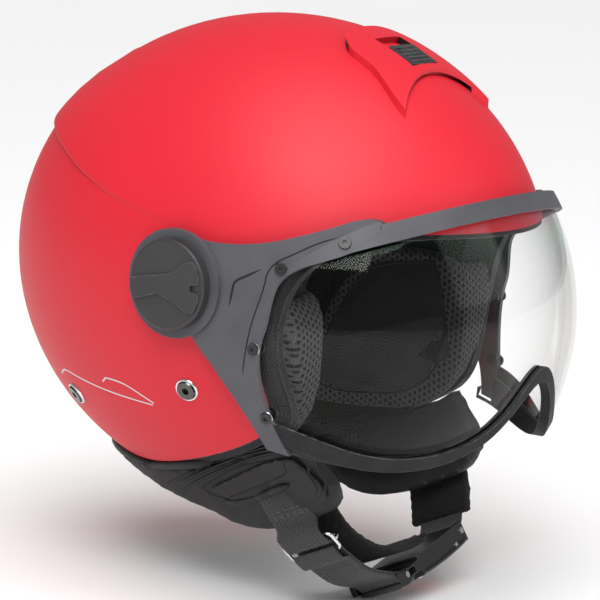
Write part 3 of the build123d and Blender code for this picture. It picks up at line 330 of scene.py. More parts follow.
# The rivet heads are chrome painted dark: a painted dark reflection in place of the dark surroundings that
# their polished faces reflect.
RIVET = make_metal("chrome_painted_dark", (0.115, 0.11, 0.11), 0.10, 0.26)
STEEL = make_metal("steel", (0.50, 0.50, 0.51), 0.25, 0.45, streak=(1, 1, 12))
BLACK_STEEL = make_moulded("blackened_steel", (0.010, 0.010, 0.011), 0.34, grain=3200, depth=0.00002)
FOAM = make_foam()
LENS = make_lens()
LEATHER = make_leatherette()
WEBBING = make_webbing()
KNIT_DARK = make_knit("knit_dark", (0.011, 0.011, 0.012))
KNIT_GREY = make_knit("knit_grey", (0.026, 0.0255, 0.026))
MESH = make_mesh_cloth("mesh_cloth", (0.048, 0.047, 0.048))
THREAD = make_thread("thread", (0.05, 0.05, 0.052))
SILVER = make_silver()

NODE_FINISH = {
    PAINT: ["outer_shell", "vent_cowl"],
    ARM: ["visor_arm_right", "visor_arm_left", "visor_rail", "pivot_base_right", "pivot_base_left"],
    CAP: ["pivot_cap_right", "pivot_cap_left", "vent_slider"],
    RUBBER: ["shell_edge_trim", "visor_trim"],
    BUCKLE: ["buckle_tongue", "buckle_body"],
    RED: ["release_lever"],
    RIVET: ["shell_rivets"],
    CHROME: ["strap_slide", "tongue_bar", "body_bar", "lever_pin", "plate_rivets"],
    STEEL: ["strap_anchor_plates", "pivot_nuts", "friction_washer_right", "friction_washer_left",
            "pivot_screw_right", "pivot_screw_left", "lever_spring"],
    BLACK_STEEL: ["visor_screws", "visor_nuts", "buckle_plate"],
    FOAM: ["foam_liner"],
    LENS: ["visor_lens"],
}


def dress(obj, *materials):
    """Gives an object its materials, in slot order."""
    obj.data.materials.clear()
    for material in materials:
        obj.data.materials.append(material)
    return obj


for finish, names in NODE_FINISH.items():
    for name in names:
        dress(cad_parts[name], finish)


# ---------------------------------------------------------------- mesh helpers
def piece(name, verts, faces, material, body, uvs=None, smooth=True):
    """A new mesh piece that rides on a body; uvs are its cloth coordinates, one per vertex."""
    mesh = bpy.data.meshes.new(name)
    mesh.from_pydata([tuple(v) for v in verts], [], faces)
    mesh.validate()
    if uvs:
        layer = mesh.uv_layers.new(name="cloth")
        for loop in mesh.loops:
            layer.data[loop.index].uv = uvs[loop.vertex_index]
    mesh.polygons.foreach_set("use_smooth", [smooth] * len(mesh.polygons))
    obj = bpy.data.objects.new(name, mesh)
    bpy.context.scene.collection.objects.link(obj)
    dress(obj, material)
    if body:
        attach(obj, body)
    return obj


def flow(points, step=2 * MM):
    """A smooth line through the points, sampled about every step."""
    points = [Vector(p) for p in points]
    ends = [2 * points[0] - points[1]] + points + [2 * points[-1] - points[-2]]
    line = []
    for a, b, c, d in zip(ends, ends[1:], ends[2:], ends[3:]):
        count = max(1, round((c - b).length / step))
        for i in range(count):
            t = i / count
            line.append(0.5 * (2 * b + (c - a) * t + (2 * a - 5 * b + 4 * c - d) * t**2
                               + (3 * b - a - 3 * c + d) * t**3))
    return line + [points[-1]]


def headings(line):
    """The unit direction of travel at each point of a line."""
    ahead = line[1:] + line[-1:]
    behind = line[:1] + line[:-1]
    return [(b - a).normalized() for a, b in zip(behind, ahead)]


def tube(name, line, radius, material, body, sides=10, taper=0):
    """A round bead along a line, with pointed ends when it tapers over that many points."""
    verts, faces, uvs = [], [], []
    side = headings(line)[0].orthogonal().normalized()
    travelled = 0.0
    for i, (spot, way) in enumerate(zip(line, headings(line))):
        side = (side - side.dot(way) * way).normalized()
        up = way.cross(side)
        travelled += (spot - line[max(i - 1, 0)]).length
        from_end = min(i, len(line) - 1 - i)
        r = radius * (sqrt(min(1.0, (from_end + 0.15) / taper)) if taper else 1.0)
        for k in range(sides):
            angle = 2 * pi * k / sides
            verts.append(spot + r * (cos(angle) * side + sin(angle) * up))
            uvs.append((travelled, radius * angle))
    for i in range(len(line) - 1):
        for k in range(sides):
            a, b = i * sides + k, i * sides + (k + 1) % sides
            faces.append((a, b, b + sides, a + sides))
    faces.append(tuple(range(sides))[::-1])
    faces.append(tuple(len(verts) - sides + k for k in range(sides)))
    return piece(name, verts, faces, material, body, uvs)


def stitches(name, rows, material, body, long=2.6 * MM, gap=1.1 * MM, radius=0.33 * MM):
    """Rows of separate thread stitches laid along lines."""
    verts, faces = [], []
    for row in rows:
        ways = headings(row)
        travelled, next_at = 0.0, gap
        for i in range(1, len(row)):
            travelled += (row[i] - row[i - 1]).length
            if travelled < next_at:
                continue
            next_at = travelled + long + gap
            way = ways[i]
            side = way.orthogonal().normalized()
            up = way.cross(side)
            first = len(verts)
            for along, wide in ((-0.5, 0.25), (-0.3, 0.9), (0.0, 1.0), (0.3, 0.9), (0.5, 0.25)):
                for k in range(6):
                    angle = pi * k / 3
                    out = radius * wide * (cos(angle) * side + sin(angle) * up)
                    verts.append(row[i] + along * long * way + out)
            for ring in range(4):
                for k in range(6):
                    a, b = first + ring * 6 + k, first + ring * 6 + (k + 1) % 6
                    faces.append((a, b, b + 6, a + 6))
    return piece(name, verts, faces, material, body)


def strap(name, line, across, width, thick, material, body):
    """Flat woven webbing with rounded selvedges, swept along a line."""
    edge = width / 2
    half = [(-edge, 0.0), (-edge + 0.35 * thick, 0.42), (-edge + thick, 0.5), (-edge / 2, 0.46), (0.0, 0.5),
            (edge / 2, 0.46), (edge - thick, 0.5), (edge - 0.35 * thick, 0.42)]
    ring = half + [(-a, -t) for a, t in half]
    verts, faces, uvs = [], [], []
    travelled = 0.0
    for i, (spot, way) in enumerate(zip(line, headings(line))):
        travelled += (spot - line[max(i - 1, 0)]).length
        up = across.cross(way).normalized()
        for a, t in ring:
            verts.append(spot + a * across + t * thick * up)
            uvs.append((travelled, a))
    count = len(ring)
    for i in range(len(line) - 1):
        for k in range(count):
            a, b = i * count + k, i * count + (k + 1) % count
            faces.append((a, a + count, b + count, b))
    faces.append(tuple(range(count)))
    faces.append(tuple(len(verts) - count + k for k in range(count))[::-1])
    return piece(name, verts, faces, material, body, uvs)


def baked(obj):
    """Makes an object's modifiers part of its mesh."""
    graph = bpy.context.evaluated_depsgraph_get()
    mesh = bpy.data.meshes.new_from_object(obj.evaluated_get(graph))
    obj.modifiers.clear()
    obj.data = mesh
    return obj


def tree_of(*objects):
    """A tree for finding points on the surfaces of some objects."""
    verts, faces = [], []
    for obj in objects:
        first = len(verts)
        verts += [v.co.copy() for v in obj.data.vertices]
        faces += [tuple(first + i for i in face.vertices) for face in obj.data.polygons]
    return BVHTree.FromPolygons(verts, faces)


def skin(tree, spots, side=-1, lift=0.0, step=2 * MM, inside=False):
    """A line on a surface, from (y, z) spots in millimetres seen from one side, and its normals."""
    line, normals = [], []
    start_x = 0.0 if inside else side * 0.2
    way = Vector((side if inside else -side, 0, 0))
    for spot in flow([(0, y * MM, z * MM) for y, z in spots], step):
        place, normal, _, _ = tree.ray_cast(Vector((start_x, spot.y, spot.z)), way)
        if place:
            line.append(place + lift * normal)
            normals.append(normal)
    return line, normals


def on_ellipsoid(centre, semi, y, z, side=-1):
    """The point on an ellipsoid's side at y and z, and the normal there."""
    left = 1 - ((y - centre.y) / semi.y) ** 2 - ((z - centre.z) / semi.z) ** 2
    x = side * semi.x * sqrt(max(left, 0.0))
    normal = Vector((x / semi.x**2, (y - centre.y) / semi.y**2, (z - centre.z) / semi.z**2))
    return Vector((x + centre.x, y, z)), normal.normalized()


# ---------------------------------------------------------------- shell details
SHELL_TREE = BVHTree.FromPolygons([v.co.copy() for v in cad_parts["outer_shell"].data.vertices],
                                  [tuple(f.vertices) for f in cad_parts["outer_shell"].data.polygons])


def shell_point(azimuth, z, out=0.0):
    """A point on the shell at an angle round from the back (+ to the right) and a height."""
    way = Vector((-sin(azimuth), cos(azimuth), 0))
    place, normal, _, _ = SHELL_TREE.ray_cast(Vector((0, 0, z)) + 0.3 * way, -way)
    return place + out * (normal if normal.dot(way) > 0 else -normal)


def eased(t):
    t = max(0.0, min(1.0, t))
    return t * t * (3 - 2 * t)


def line_at(points, x):
    """Height of a line through (x, height) points, eased between them."""
    for (x0, h0), (x1, h1) in zip(points, points[1:]):
        if x <= x1:
            return h0 + (h1 - h0) * (x - x0) / (x1 - x0)
    return points[-1][1]


# The moulded step round the back: its height at each angle from the back, in degrees.
STEP_LINE = [(0, 68), (20, 67), (35, 63), (48, 57), (60, 49.5), (72, 42.5), (84, 36), (96, 30)]
STEP_END = 96
STEP_OUT = 2.8 * MM
STEP_FADE = 52 * MM
STEP_ROWS = (0.0, 0.0, 0.02, 0.06, 0.14, 0.27, 0.45, 0.7, 1.0)


def moulded_step():
    """The shell's rear step: a skin that stands out most along its lower lip and fades upwards."""
    verts, faces = [], []
    across = 96
    for i in range(across + 1):
        angle = -STEP_END + 2 * STEP_END * i / across
        lip = line_at(STEP_LINE, abs(angle)) * MM
        out = STEP_OUT * (1 - eased((abs(angle) - 30) / (STEP_END - 30)))
        for row, t in enumerate(STEP_ROWS):
            high = out * (1 - eased(t)) if row else 0.0
            lift = high - 0.25 * MM * (1 if row == 0 or t == 1.0 else eased(t) * 0.6)
            round_in = 0.7 * MM if row == 1 else 0.0
            height = lip + t * STEP_FADE + 0.9 * round_in
            verts.append(shell_point(radians(angle), height, lift - round_in * 0.4))
    rows = len(STEP_ROWS)
    for i in range(across):
        for row in range(rows - 1):
            a = i * rows + row
            faces.append((a, a + 1, a + rows + 1, a + rows))
    return piece("shell_rear_step", verts, faces, PAINT, "helmet")


moulded_step()

# A plain silver pinstripe with a stepped front half, low on each side: (y, z) spots.
STRIPE = [(76, -57.5), (70, -54), (56, -55.5), (40, -57.5), (24, -59), (4, -60.5)]
STRIPE_TWIN = [(36, -53.5), (33, -51.0), (20, -52.0), (8, -57.0), (3, -59.5)]
STRIPE_WIDE = 0.9 * MM


def stripe(name, spots, side):
    line = []
    for spot in flow([(0, y * MM, z * MM) for y, z in spots], 3 * MM):
        start = Vector((side * 0.2, spot.y, spot.z))
        place, normal, _, _ = SHELL_TREE.ray_cast(start, Vector((-side, 0, 0)))
        line.append((place, normal if normal.x * side > 0 else -normal))
    verts, faces = [], []
    for (place, normal), way in zip(line, headings([p for p, _ in line])):
        across = normal.cross(way).normalized()
        for edge in (-0.5, 0.5):
            verts.append(place + 0.08 * MM * normal + edge * STRIPE_WIDE * across)
    for i in range(len(line) - 1):
        faces.append((2 * i, 2 * i + 1, 2 * i + 3, 2 * i + 2))
    return piece(name, verts, faces, SILVER, "helmet")


SIDES = {"right": -1, "left": 1}
for hand, side in SIDES.items():
    stripe(f"stripe_{hand}", STRIPE, side)
    stripe(f"stripe_twin_{hand}", STRIPE_TWIN, side)


# ---------------------------------------------------------------- visor details
SWEEP_SEMI = Vector((118.3, 127, 127)) * MM
LENS_CENTRE = Vector((0, -53.4, -18)) * MM
LENS_SEMI = Vector((111, 104, 112.7)) * MM
ARM_ON_LENS = 2.6 * MM
ARM_GROOVE = [(-96.3, 33.7), (-88.8, 30.6), (-80, 25.4), (-72, 20.4), (-68.4, 15.5), (-67.3, 10),
              (-65.8, 2.5), (-62.5, -10.9), (-60.2, -23.1), (-58.2, -35.8)]
ARM_CHEVRON = [(-65.4, 16.7), (-59.4, 13.3), (-54.2, 10.4), (-52.6, 8.2), (-51.7, 3), (-50.6, -2.4)]
ARM_RIDGE = [(-50.2, -12), (-50.4, -16.6), (-52.4, -24.8), (-54.4, -33.6)]
SCREW_SPOTS = ((-99, 31), (-74, 17.5), (-64.5, -21.5), (-69, -55))


def arm_point(y, z, side):
    """A point on the outer face of a visor arm, and its normal."""
    sweep = on_ellipsoid(PIVOT, SWEEP_SEMI, y, z, side)
    grown = LENS_SEMI + Vector((1, 1, 1)) * ARM_ON_LENS
    return max(sweep, on_ellipsoid(LENS_CENTRE, grown, y, z, side), key=lambda hit: abs(hit[0].x))


def arm_line(spots, side, lift):
    line = []
    for spot in flow([(0, y * MM, z * MM) for y, z in spots], 1.2 * MM):
        place, normal = arm_point(spot.y, spot.z, side)
        line.append(place + lift * normal)
    return line


# Painted shade: near-black tubes sunk into the arms stand for the shade in their grooves and chevrons; the
# flap's frame line and the buckle's thumb recess use this material too.
GROOVE_SHADE = make_moulded("groove_shadow", (0.004, 0.004, 0.005), 0.7, edge=(0.01, 0.01, 0.01))
for hand, side in SIDES.items():
    tube(f"arm_groove_{hand}", arm_line(ARM_GROOVE, side, -0.18 * MM), 0.42 * MM, GROOVE_SHADE, "visor", taper=5)
    tube(f"arm_chevron_{hand}", arm_line(ARM_CHEVRON, side, -0.10 * MM), 0.55 * MM, GROOVE_SHADE, "visor", taper=6)
    tube(f"arm_ridge_{hand}", arm_line(ARM_RIDGE, side, -0.35 * MM), 0.8 * MM, ARM, "visor", taper=8)


def washer(name, places, inner, outer, high, material, body):
    """Rounded rings lying on a surface at each (place, normal)."""
    verts, faces = [], []
    profile = ((inner, 0.0), (inner, high * 0.7), (inner + 0.15 * MM, high), (outer - 0.3 * MM, high),
               (outer, 0.0))
    for place, normal in places:
        side = normal.orthogonal().normalized()
        up = normal.cross(side)
        first, around = len(verts), 32
        for k in range(around):
            angle = 2 * pi * k / around
            way = cos(angle) * side + sin(angle) * up
            for r, lift in profile:
                verts.append(place + r * way + (lift - 0.1 * MM) * normal)
        count = len(profile)
        for k in range(around):
            for row in range(count - 1):
                a, b = first + k * count + row, first + (k + 1) % around * count + row
                faces.append((a, b, b + 1, a + 1))
    return piece(name, verts, faces, material, body)


for hand, side in SIDES.items():
    places = [arm_point(y * MM, z * MM, side) for y, z in SCREW_SPOTS]
    washer(f"screw_rims_{hand}", places, 2.82 * MM, 3.25 * MM, 0.35 * MM, CHROME, "visor")


# Bright rims round the rivets low on the shell, at (y, z) spots
REAR_SEMI = Vector((SHELL_SEMI.x, SHELL_REAR, SHELL_SEMI.z))
for hand, side in SIDES.items():
    places = [on_ellipsoid(SHELL_CENTRE, SHELL_SEMI, -19.6 * MM, -48.9 * MM, side),
              on_ellipsoid(SHELL_CENTRE, REAR_SEMI, 66.5 * MM, -66.5 * MM, side)]
    washer(f"rivet_rims_{hand}", places, 5.0 * MM, 6.1 * MM, 1.0 * MM, CHROME, "helmet")


# ---------------------------------------------------------------- padded pieces
def cloth_coordinates(obj, mapping):
    """Writes the piece's cloth coordinates from where its vertices are."""
    mesh = obj.data
    layer = mesh.uv_layers.get("cloth") or mesh.uv_layers.new(name="cloth")
    for loop in mesh.loops:
        layer.data[loop.index].uv = mapping(mesh.vertices[loop.vertex_index].co)
    return obj


def flat_side(p):
    return (p.y, p.z)


def rolled_side(p):
    """Side coordinates that carry on round the front and back of a cheek pad."""
    return (p.y - abs(p.x), p.z)


def flat_front(p):
    return (p.x, p.z)


def round_front(p):
    return (atan2(p.x, -p.y) * 90 * MM, p.z)


def round_back(p):
    return (atan2(p.x, p.y) * 90 * MM, p.z)


def even_copy(node, name, voxel, inset, relax):
    """A CAD solid remade as an even mesh, drawn in a little, with its edges relaxed."""
    obj = bpy.data.objects.new(name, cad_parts[node].data.copy())
    bpy.context.scene.collection.objects.link(obj)
    remesh = obj.modifiers.new("even", "REMESH")
    remesh.mode = "VOXEL"
    remesh.voxel_size = voxel
    baked(obj)
    if inset:
        draw_in = obj.modifiers.new("draw_in", "DISPLACE")
        draw_in.strength = -inset
        draw_in.mid_level = 0.0
    smooth = obj.modifiers.new("relax", "SMOOTH")
    smooth.factor = 0.5
    smooth.iterations = relax
    return baked(obj)


def fill_out(obj, cap, pressure=4.0):
    """Swells a piece as its foam would, by cloth simulation, no point moving more than cap."""
    before = [v.co.copy() for v in obj.data.vertices]
    cloth = obj.modifiers.new("fill", "CLOTH")
    settings = cloth.settings
    settings.quality = 4
    settings.use_pressure = True
    settings.uniform_pressure_force = pressure
    settings.effector_weights.gravity = 0.0
    scene = bpy.context.scene
    for number in range(1, 17):
        scene.frame_set(number)
    baked(obj)
    scene.frame_set(1)
    for vertex, old in zip(obj.data.vertices, before):
        move = vertex.co - old
        if move.length > cap:
            vertex.co = old + move * (cap / move.length)
    return obj


def channel(obj, line, wide, deep):
    """Pulls the surface in along a sewn line."""
    near = BVHTree.FromPolygons([p + Vector((0, 0, d)) for p in line for d in (0, 1e-5, 2e-5)],
                                [(3 * i, 3 * i + 1, 3 * i + 2) for i in range(len(line))])
    for vertex in obj.data.vertices:
        _, _, _, gap = near.find_nearest(vertex.co, wide * 2)
        if gap is not None:
            vertex.co -= vertex.normal * deep * max(0.0, 1 - (gap / wide) ** 2) ** 2
    return obj


def finished_pad(obj, node, mapping, *materials):
    """One more subdivision, cloth coordinates, finish and place for a padded piece."""
    obj.modifiers.new("finer", "SUBSURF").levels = 1
    baked(obj)
    cloth_coordinates(obj, mapping)
    obj.data.polygons.foreach_set("use_smooth", [True] * len(obj.data.polygons))
    dress(obj, *materials)
    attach(obj, "helmet")
    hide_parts(node)
    return obj


# Cheek pads: honeycomb cloth round the rim and a face inside a sewn line, of grey knit
# below and black above a second seam.
CHEEK_SEAM = [(-52, 0), (-30, -3), (-14, -8), (0, -24), (12, -48), (16, -70), (0, -75), (-30, -72),
              (-48, -64), (-58, -48), (-60, -28), (-57, -10), (-52, 0)]
CHEEK_PANEL_TOP = [(-60, -27), (-45, -31), (-22, -39), (0, -45), (12, -47)]


def inside_outline(y, z, outline):
    """Whether a point lies inside a closed outline."""
    inside = False
    for (y0, z0), (y1, z1) in zip(outline, outline[1:]):
        if (z0 > z) != (z1 > z) and y < (y1 - y0) * (z - z0) / (z1 - z0) + y0:
            inside = not inside
    return inside


for hand, side in SIDES.items():
    node = f"cheek_pad_{hand}"
    pad = even_copy(node, f"cheek_cushion_{hand}", 3.0 * MM, 0.9 * MM, 6)
    fill_out(pad, 2.4 * MM)
    seam, _ = skin(tree_of(pad), CHEEK_SEAM, side, 0.0, 2 * MM, inside=True)
    channel(pad, seam, 5 * MM, 2.2 * MM)
    finished_pad(pad, node, rolled_side, MESH, KNIT_GREY, KNIT_DARK)
    for face in pad.data.polygons:
        y, z = face.center.y / MM, face.center.z / MM
        if face.normal.x * -side > 0.45 and inside_outline(y, z, CHEEK_SEAM):
            face.material_index = 1 if z < line_at(CHEEK_PANEL_TOP, y) else 2
    bead, _ = skin(tree_of(pad), CHEEK_SEAM, side, 0.1 * MM, 1.5 * MM, inside=True)
    tube(f"cheek_seam_{hand}", bead, 0.7 * MM, KNIT_DARK, "helmet")
    split, _ = skin(tree_of(pad), CHEEK_PANEL_TOP, side, 0.0, 2 * MM, inside=True)
    tube(f"cheek_split_{hand}", split, 0.5 * MM, KNIT_DARK, "helmet", taper=3)

brow = even_copy("brow_band", "brow_cushion", 3.2 * MM, 1.0 * MM, 5)
fill_out(brow, 1.6 * MM)
finished_pad(brow, "brow_band", round_front, MESH)

nape = even_copy("nape_pad", "nape_cushion", 3.4 * MM, 1.2 * MM, 7)
fill_out(nape, 2.0 * MM)
finished_pad(nape, "nape_pad", round_back, KNIT_DARK)

# The crown liner is quilted: sewn lines run front to back over the head.
CROWN_LONG = 102 * MM
CROWN_HIGH = 84 * MM
crown = even_copy("crown_liner", "crown_cushion", 3.6 * MM, 0.8 * MM, 4)
for offset in (-48, -24, 0, 24, 48):
    narrow = sqrt(1 - (offset / 80) ** 2)
    rib = []
    for angle in [radians(d) for d in range(-62, 63, 1)]:
        forward = CROWN_LONG * narrow * sin(angle)
        rise = CROWN_HIGH * narrow * cos(angle)
        rib.append(Vector((offset * MM * cos(angle * 0.9), SHELL_CENTRE.y + forward, SHELL_CENTRE.z + rise)))
    channel(crown, rib, 7 * MM, 2.4 * MM)
finished_pad(crown, "crown_liner", lambda p: (p.x, p.y * 1.1), KNIT_DARK)

# ---------------------------------------------------------------- neck skirt
skirt = even_copy("neck_skirt", "neck_roll", 2.2 * MM, 0.25 * MM, 3)
fill_out(skirt, 1.2 * MM, 2.5)
finished_pad(skirt, "neck_skirt", flat_side, LEATHER)

# Three piping beads sweep from the skirt's rear, over the flap's top edge and round its front
# corner: (y, z) spots.
PIPING = (
    ((22, -109.5), (9, -103), (-9, -92.5), (-22, -86.5), (-43, -78.5), (-60, -74), (-71, -73), (-77, -77),
     (-83, -84.5), (-86, -92), (-81, -98.5)),
    ((17, -111), (3, -102), (-12, -94), (-28, -86.5), (-45, -80), (-59, -75.8), (-69.5, -75), (-74.5, -79.3),
     (-79, -86), (-82, -93), (-77.5, -99.8)),
    ((12, -112.5), (0, -104), (-14, -96.3), (-30, -88.5), (-46.5, -81.3), (-58.5, -77.8), (-68, -77.2),
     (-72, -81.2), (-75.5, -87.5), (-78.3, -94.5), (-74, -101)),
)
# On the flap: a recessed field with a thin frame, drawn as a sunk near-black line of painted shade, and the
# ledge that the webbing comes out under.
FLAP_FIELD = ((-4, -106), (-12, -100.5), (-28, -91.5), (-43, -85.5), (-60, -81), (-61.5, -83), (-61, -88),
              (-52, -93), (-37, -100.6), (-26, -106), (-17, -109.5), (-9, -108.6), (-4, -106))
FLAP_LEDGE = ((-17, -110.8), (-30, -108.2), (-46, -101.2), (-62, -93.5))

for hand, side in SIDES.items():
    node = f"skirt_panel_{hand}"
    flap = even_copy(node, f"skirt_flap_{hand}", 1.6 * MM, 0.3 * MM, 3)
    finished_pad(flap, node, flat_side, LEATHER)
    flap_tree = tree_of(flap, skirt)
    for number, spots in enumerate(PIPING):
        line, _ = skin(flap_tree, spots, side, 0.1 * MM)
        bead = flow(line[::3], 1.5 * MM)
        tube(f"skirt_piping_{hand}_{number}", bead, 0.85 * MM, LEATHER, "helmet", taper=8)
    line, _ = skin(flap_tree, FLAP_FIELD, side, -0.25 * MM, 1.2 * MM)
    tube(f"flap_frame_{hand}", line, 0.55 * MM, GROOVE_SHADE, "helmet")
    line, _ = skin(flap_tree, FLAP_LEDGE, side, 0.5 * MM, 1.5 * MM)
    tube(f"flap_ledge_{hand}", line, 2.0 * MM, LEATHER, "helmet", taper=4)

# ---------------------------------------------------------------- edging and the welt under it
SHELL_LOW_EDGE = ((-60, -64), (-40, -76), (-8, -88.5), (34, -97.5), (80, -95), (150, -90.5))
FACE_EDGE = ((-60, -64), (-66, -54), (-65.5, -36), (-66, -12), (-76, 16), (-98, 31), (-116, 33.4))
LAP = 6.5
LAP_ROWS = ((-1.6, -0.9), (-1.1, 0.55), (-0.3, 0.95), (LAP - 1.2, 0.85), (LAP - 0.3, 0.55), (LAP, -0.2))


def lapped_edge(name, spots, side):
    """The rubber edging's outer lip: a strip lying on the shell along its cut edge."""
    verts, faces = [], []
    line = flow([(0, y, z) for y, z in spots], 3)
    for spot, way in zip(line, headings(line)):
        for t, lift in LAP_ROWS:
            y, z = spot.y + t * way.z, spot.z - t * way.y
            place, normal = on_ellipsoid(SHELL_CENTRE, SHELL_SEMI, y * MM, z * MM, side)
            verts.append(place + lift * MM * normal)
    rows = len(LAP_ROWS)
    for i in range(len(line) - 1):
        for row in range(rows - 1):
            a = i * rows + row
            faces.append((a, a + 1, a + rows + 1, a + rows))
    return piece(name, verts, faces, RUBBER, "helmet")


for hand, side in SIDES.items():
    lapped_edge(f"face_edging_{hand}", FACE_EDGE, side)


def welt_line(drop, inward):
    """A line right round the shell's lower edge, a little under and inside it."""
    line = []
    for degrees_round in range(-138, 139, 3):
        z = -90 * MM
        for _ in range(5):
            place = shell_point(radians(degrees_round), z + 3 * MM)
            z = line_at(SHELL_LOW_EDGE, place.y / MM) * MM
        flat = Vector((place.x, place.y, 0))
        line.append(Vector((place.x, place.y, z - drop)) - inward * flat.normalized())
    return line


tube("skirt_welt", welt_line(3.4 * MM, 7.2 * MM), 2.6 * MM, LEATHER, "helmet", taper=5)

# ---------------------------------------------------------------- chin strap
LEAN = radians(24)
STRAP_ORIGIN = Vector((0, -52, -100)) * MM
STRAP_UP = Vector((0, sin(LEAN), cos(LEAN)))
STRAP_ACROSS = Vector((0, -cos(LEAN), sin(LEAN)))
STRAP_WIDE = 26 * MM
LAYER = 1.2 * MM
BAR_LOOP = 2.3 * MM


def strap_point(x, y):
    """A point in the plane that the strap hangs in, from millimetres."""
    return STRAP_ORIGIN + Vector((x * MM, 0, 0)) + y * MM * STRAP_UP


def beside(line, out):
    """The same line moved sideways in the strap's plane, out(t) metres at t along it."""
    moved = []
    for i, (spot, way) in enumerate(zip(line, headings(line))):
        moved.append(spot + out(i / (len(line) - 1)) * way.cross(STRAP_ACROSS).normalized())
    return moved


def around_bar(x, y, first, last):
    """Points round a strap bar, from one angle in the strap's plane to another, in degrees."""
    angles = [radians(first + (last - first) * i / 12) for i in range(13)]
    return [strap_point(x, y) + BAR_LOOP * (cos(a) * Vector((1, 0, 0)) + sin(a) * STRAP_UP) for a in angles]


# Where the tongue's bar and the buckle body's bar are in the strap's plane
BUCKLE_START = (-8, -57.5)
BODY_BAR = (51.67, -44.82)
RIGHT_TOP = [(-70.2, 4), (-65.9, -8), (-60.2, -21), (-54, -29)]
RIGHT_LOW = [(-54, -29), (-47.5, -37), (-32, -49.3), (-12.5, -55.6)]
SLIDE_WAY = Vector((0.6, -0.8 * sin(LEAN), -0.8 * cos(LEAN)))
SLIDE_OUT = Vector((-0.8, -0.6 * sin(LEAN), -0.6 * cos(LEAN)))
SLIDE_AT = strap_point(-54, -29)
OVER_BAR = 4.3 * MM
DOUBLED = 0.65 * MM


def hump(along, start, end, fade=6.0):
    """1 between start and end millimetres along the strap past the slide, easing to 0 outside."""
    return eased((along - start + fade) / fade) * eased((end + fade - along) / fade)


def past_slide(line, out):
    """A strap line moved outwards by out(millimetres past the slide)."""
    moved = []
    for spot, way in zip(line, headings(line)):
        along = (spot - SLIDE_AT).dot(SLIDE_WAY) / MM
        moved.append(spot + out(along) * way.cross(STRAP_ACROSS).normalized())
    return moved


upper = flow([strap_point(*p) for p in RIGHT_TOP], 1.2 * MM)
lower = flow([strap_point(*p) for p in RIGHT_LOW], 1.2 * MM)
# The inner layer rises over the slide's upper bar and the outer one ends over its lower bar,
# each flat for the slide's 3 mm of travel either way.
inner_run = past_slide(upper + lower[1:],
                       lambda d: OVER_BAR * hump(d, -10, -1.9, 4) - DOUBLED * eased((d + 2) / 4))
outer_end = [p for p in lower if (p - SLIDE_AT).dot(SLIDE_WAY) > 1.6 * MM]
outer_run = past_slide(outer_end, lambda d: DOUBLED + (OVER_BAR - DOUBLED) * hump(d, 2, 9.8, 5))
loop = around_bar(*BUCKLE_START, 66, -114)
strap("webbing_right", inner_run + loop + outer_run[::-1], STRAP_ACROSS, STRAP_WIDE, LAYER, WEBBING, "helmet")
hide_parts("strap_webbing_right")

LEFT_RUN = [(74, 6), (71, -8), (67.5, -20), (63.5, -30), (58.5, -38.6), (54.4, -42.4)]
left_line = flow([strap_point(*p) for p in LEFT_RUN])
left_loop = around_bar(*BODY_BAR, 48, 228)
left_back = beside(flow([strap_point(*p) for p in LEFT_RUN[2:]]), lambda t: -1.3 * MM)[::-1]
strap("webbing_left", left_line + left_loop + left_back, STRAP_ACROSS, STRAP_WIDE, LAYER, WEBBING, "helmet")
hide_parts("strap_webbing_left")


def across_rows(line, at, count, spacing, lift):
    """Stitch rows across a strap, near a distance along its line."""
    rows = []
    travelled = 0.0
    marks = [at + k * spacing for k in range(count)]
    for a, b, way in zip(line, line[1:], headings(line)):
        travelled += (b - a).length
        if marks and travelled >= marks[0]:
            marks.pop(0)
            up = way.cross(STRAP_ACROSS).normalized()
            rows.append([b + lift * up + STRAP_ACROSS * (k * MM) for k in range(-11, 12)])
    return rows


stitches("tack_right", across_rows(upper, 13 * MM, 3, 2.2 * MM, 0.62 * MM), THREAD, "helmet")
stitches("tack_low_right", across_rows(outer_run, 20 * MM, 2, 7 * MM, 0.62 * MM), THREAD, "helmet")

WIRE_R = 0.95 * MM


def slide_point(along, across, out):
    return SLIDE_AT + MM * (along * SLIDE_WAY + across * STRAP_ACROSS + out * SLIDE_OUT)


# The slide is bent wire: a rounded frame outside the strap and a bar behind it.
CORNER = 3.0
ring = []
for turn_at, (x, y) in enumerate(((5.6 - CORNER, 14.9 - CORNER), (CORNER - 5.6, 14.9 - CORNER),
                                  (CORNER - 5.6, CORNER - 14.9), (5.6 - CORNER, CORNER - 14.9))):
    for k in range(7):
        angle = radians(90 * turn_at + 15 * k)
        ring.append(slide_point(x + CORNER * cos(angle), y + CORNER * sin(angle), 2.3))
ring = [slide_point(5.6, 0, 2.3)] + ring + [slide_point(5.6, 0, 2.3), slide_point(5.6, 1.5, 2.3)]
wire = tube("slide_wire", flow(ring, 1.5 * MM), WIRE_R, CHROME, "strap_slide")
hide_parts("strap_slide")
bar = [slide_point(0, y, z) for y, z in ((-14.6, 2.3), (-14.8, -0.4), (-13.6, -2.3), (-7, -2.4), (7, -2.4),
                                         (13.6, -2.3), (14.8, -0.4), (14.6, 2.3))]
tube("slide_bar", flow(bar, 1.2 * MM), WIRE_R, CHROME, "strap_slide")

sleeve = even_copy("strap_cover", "strap_sleeve", 1.9 * MM, 0.4 * MM, 5)
fill_out(sleeve, 1.3 * MM, 3.0)
finished_pad(sleeve, "strap_cover", flat_front, KNIT_DARK)

chin = even_copy("chin_pad", "chin_cushion", 1.6 * MM, 0.2 * MM, 3)
fill_out(chin, 1.1 * MM, 3.0)
finished_pad(chin, "chin_pad", flat_front, KNIT_DARK)

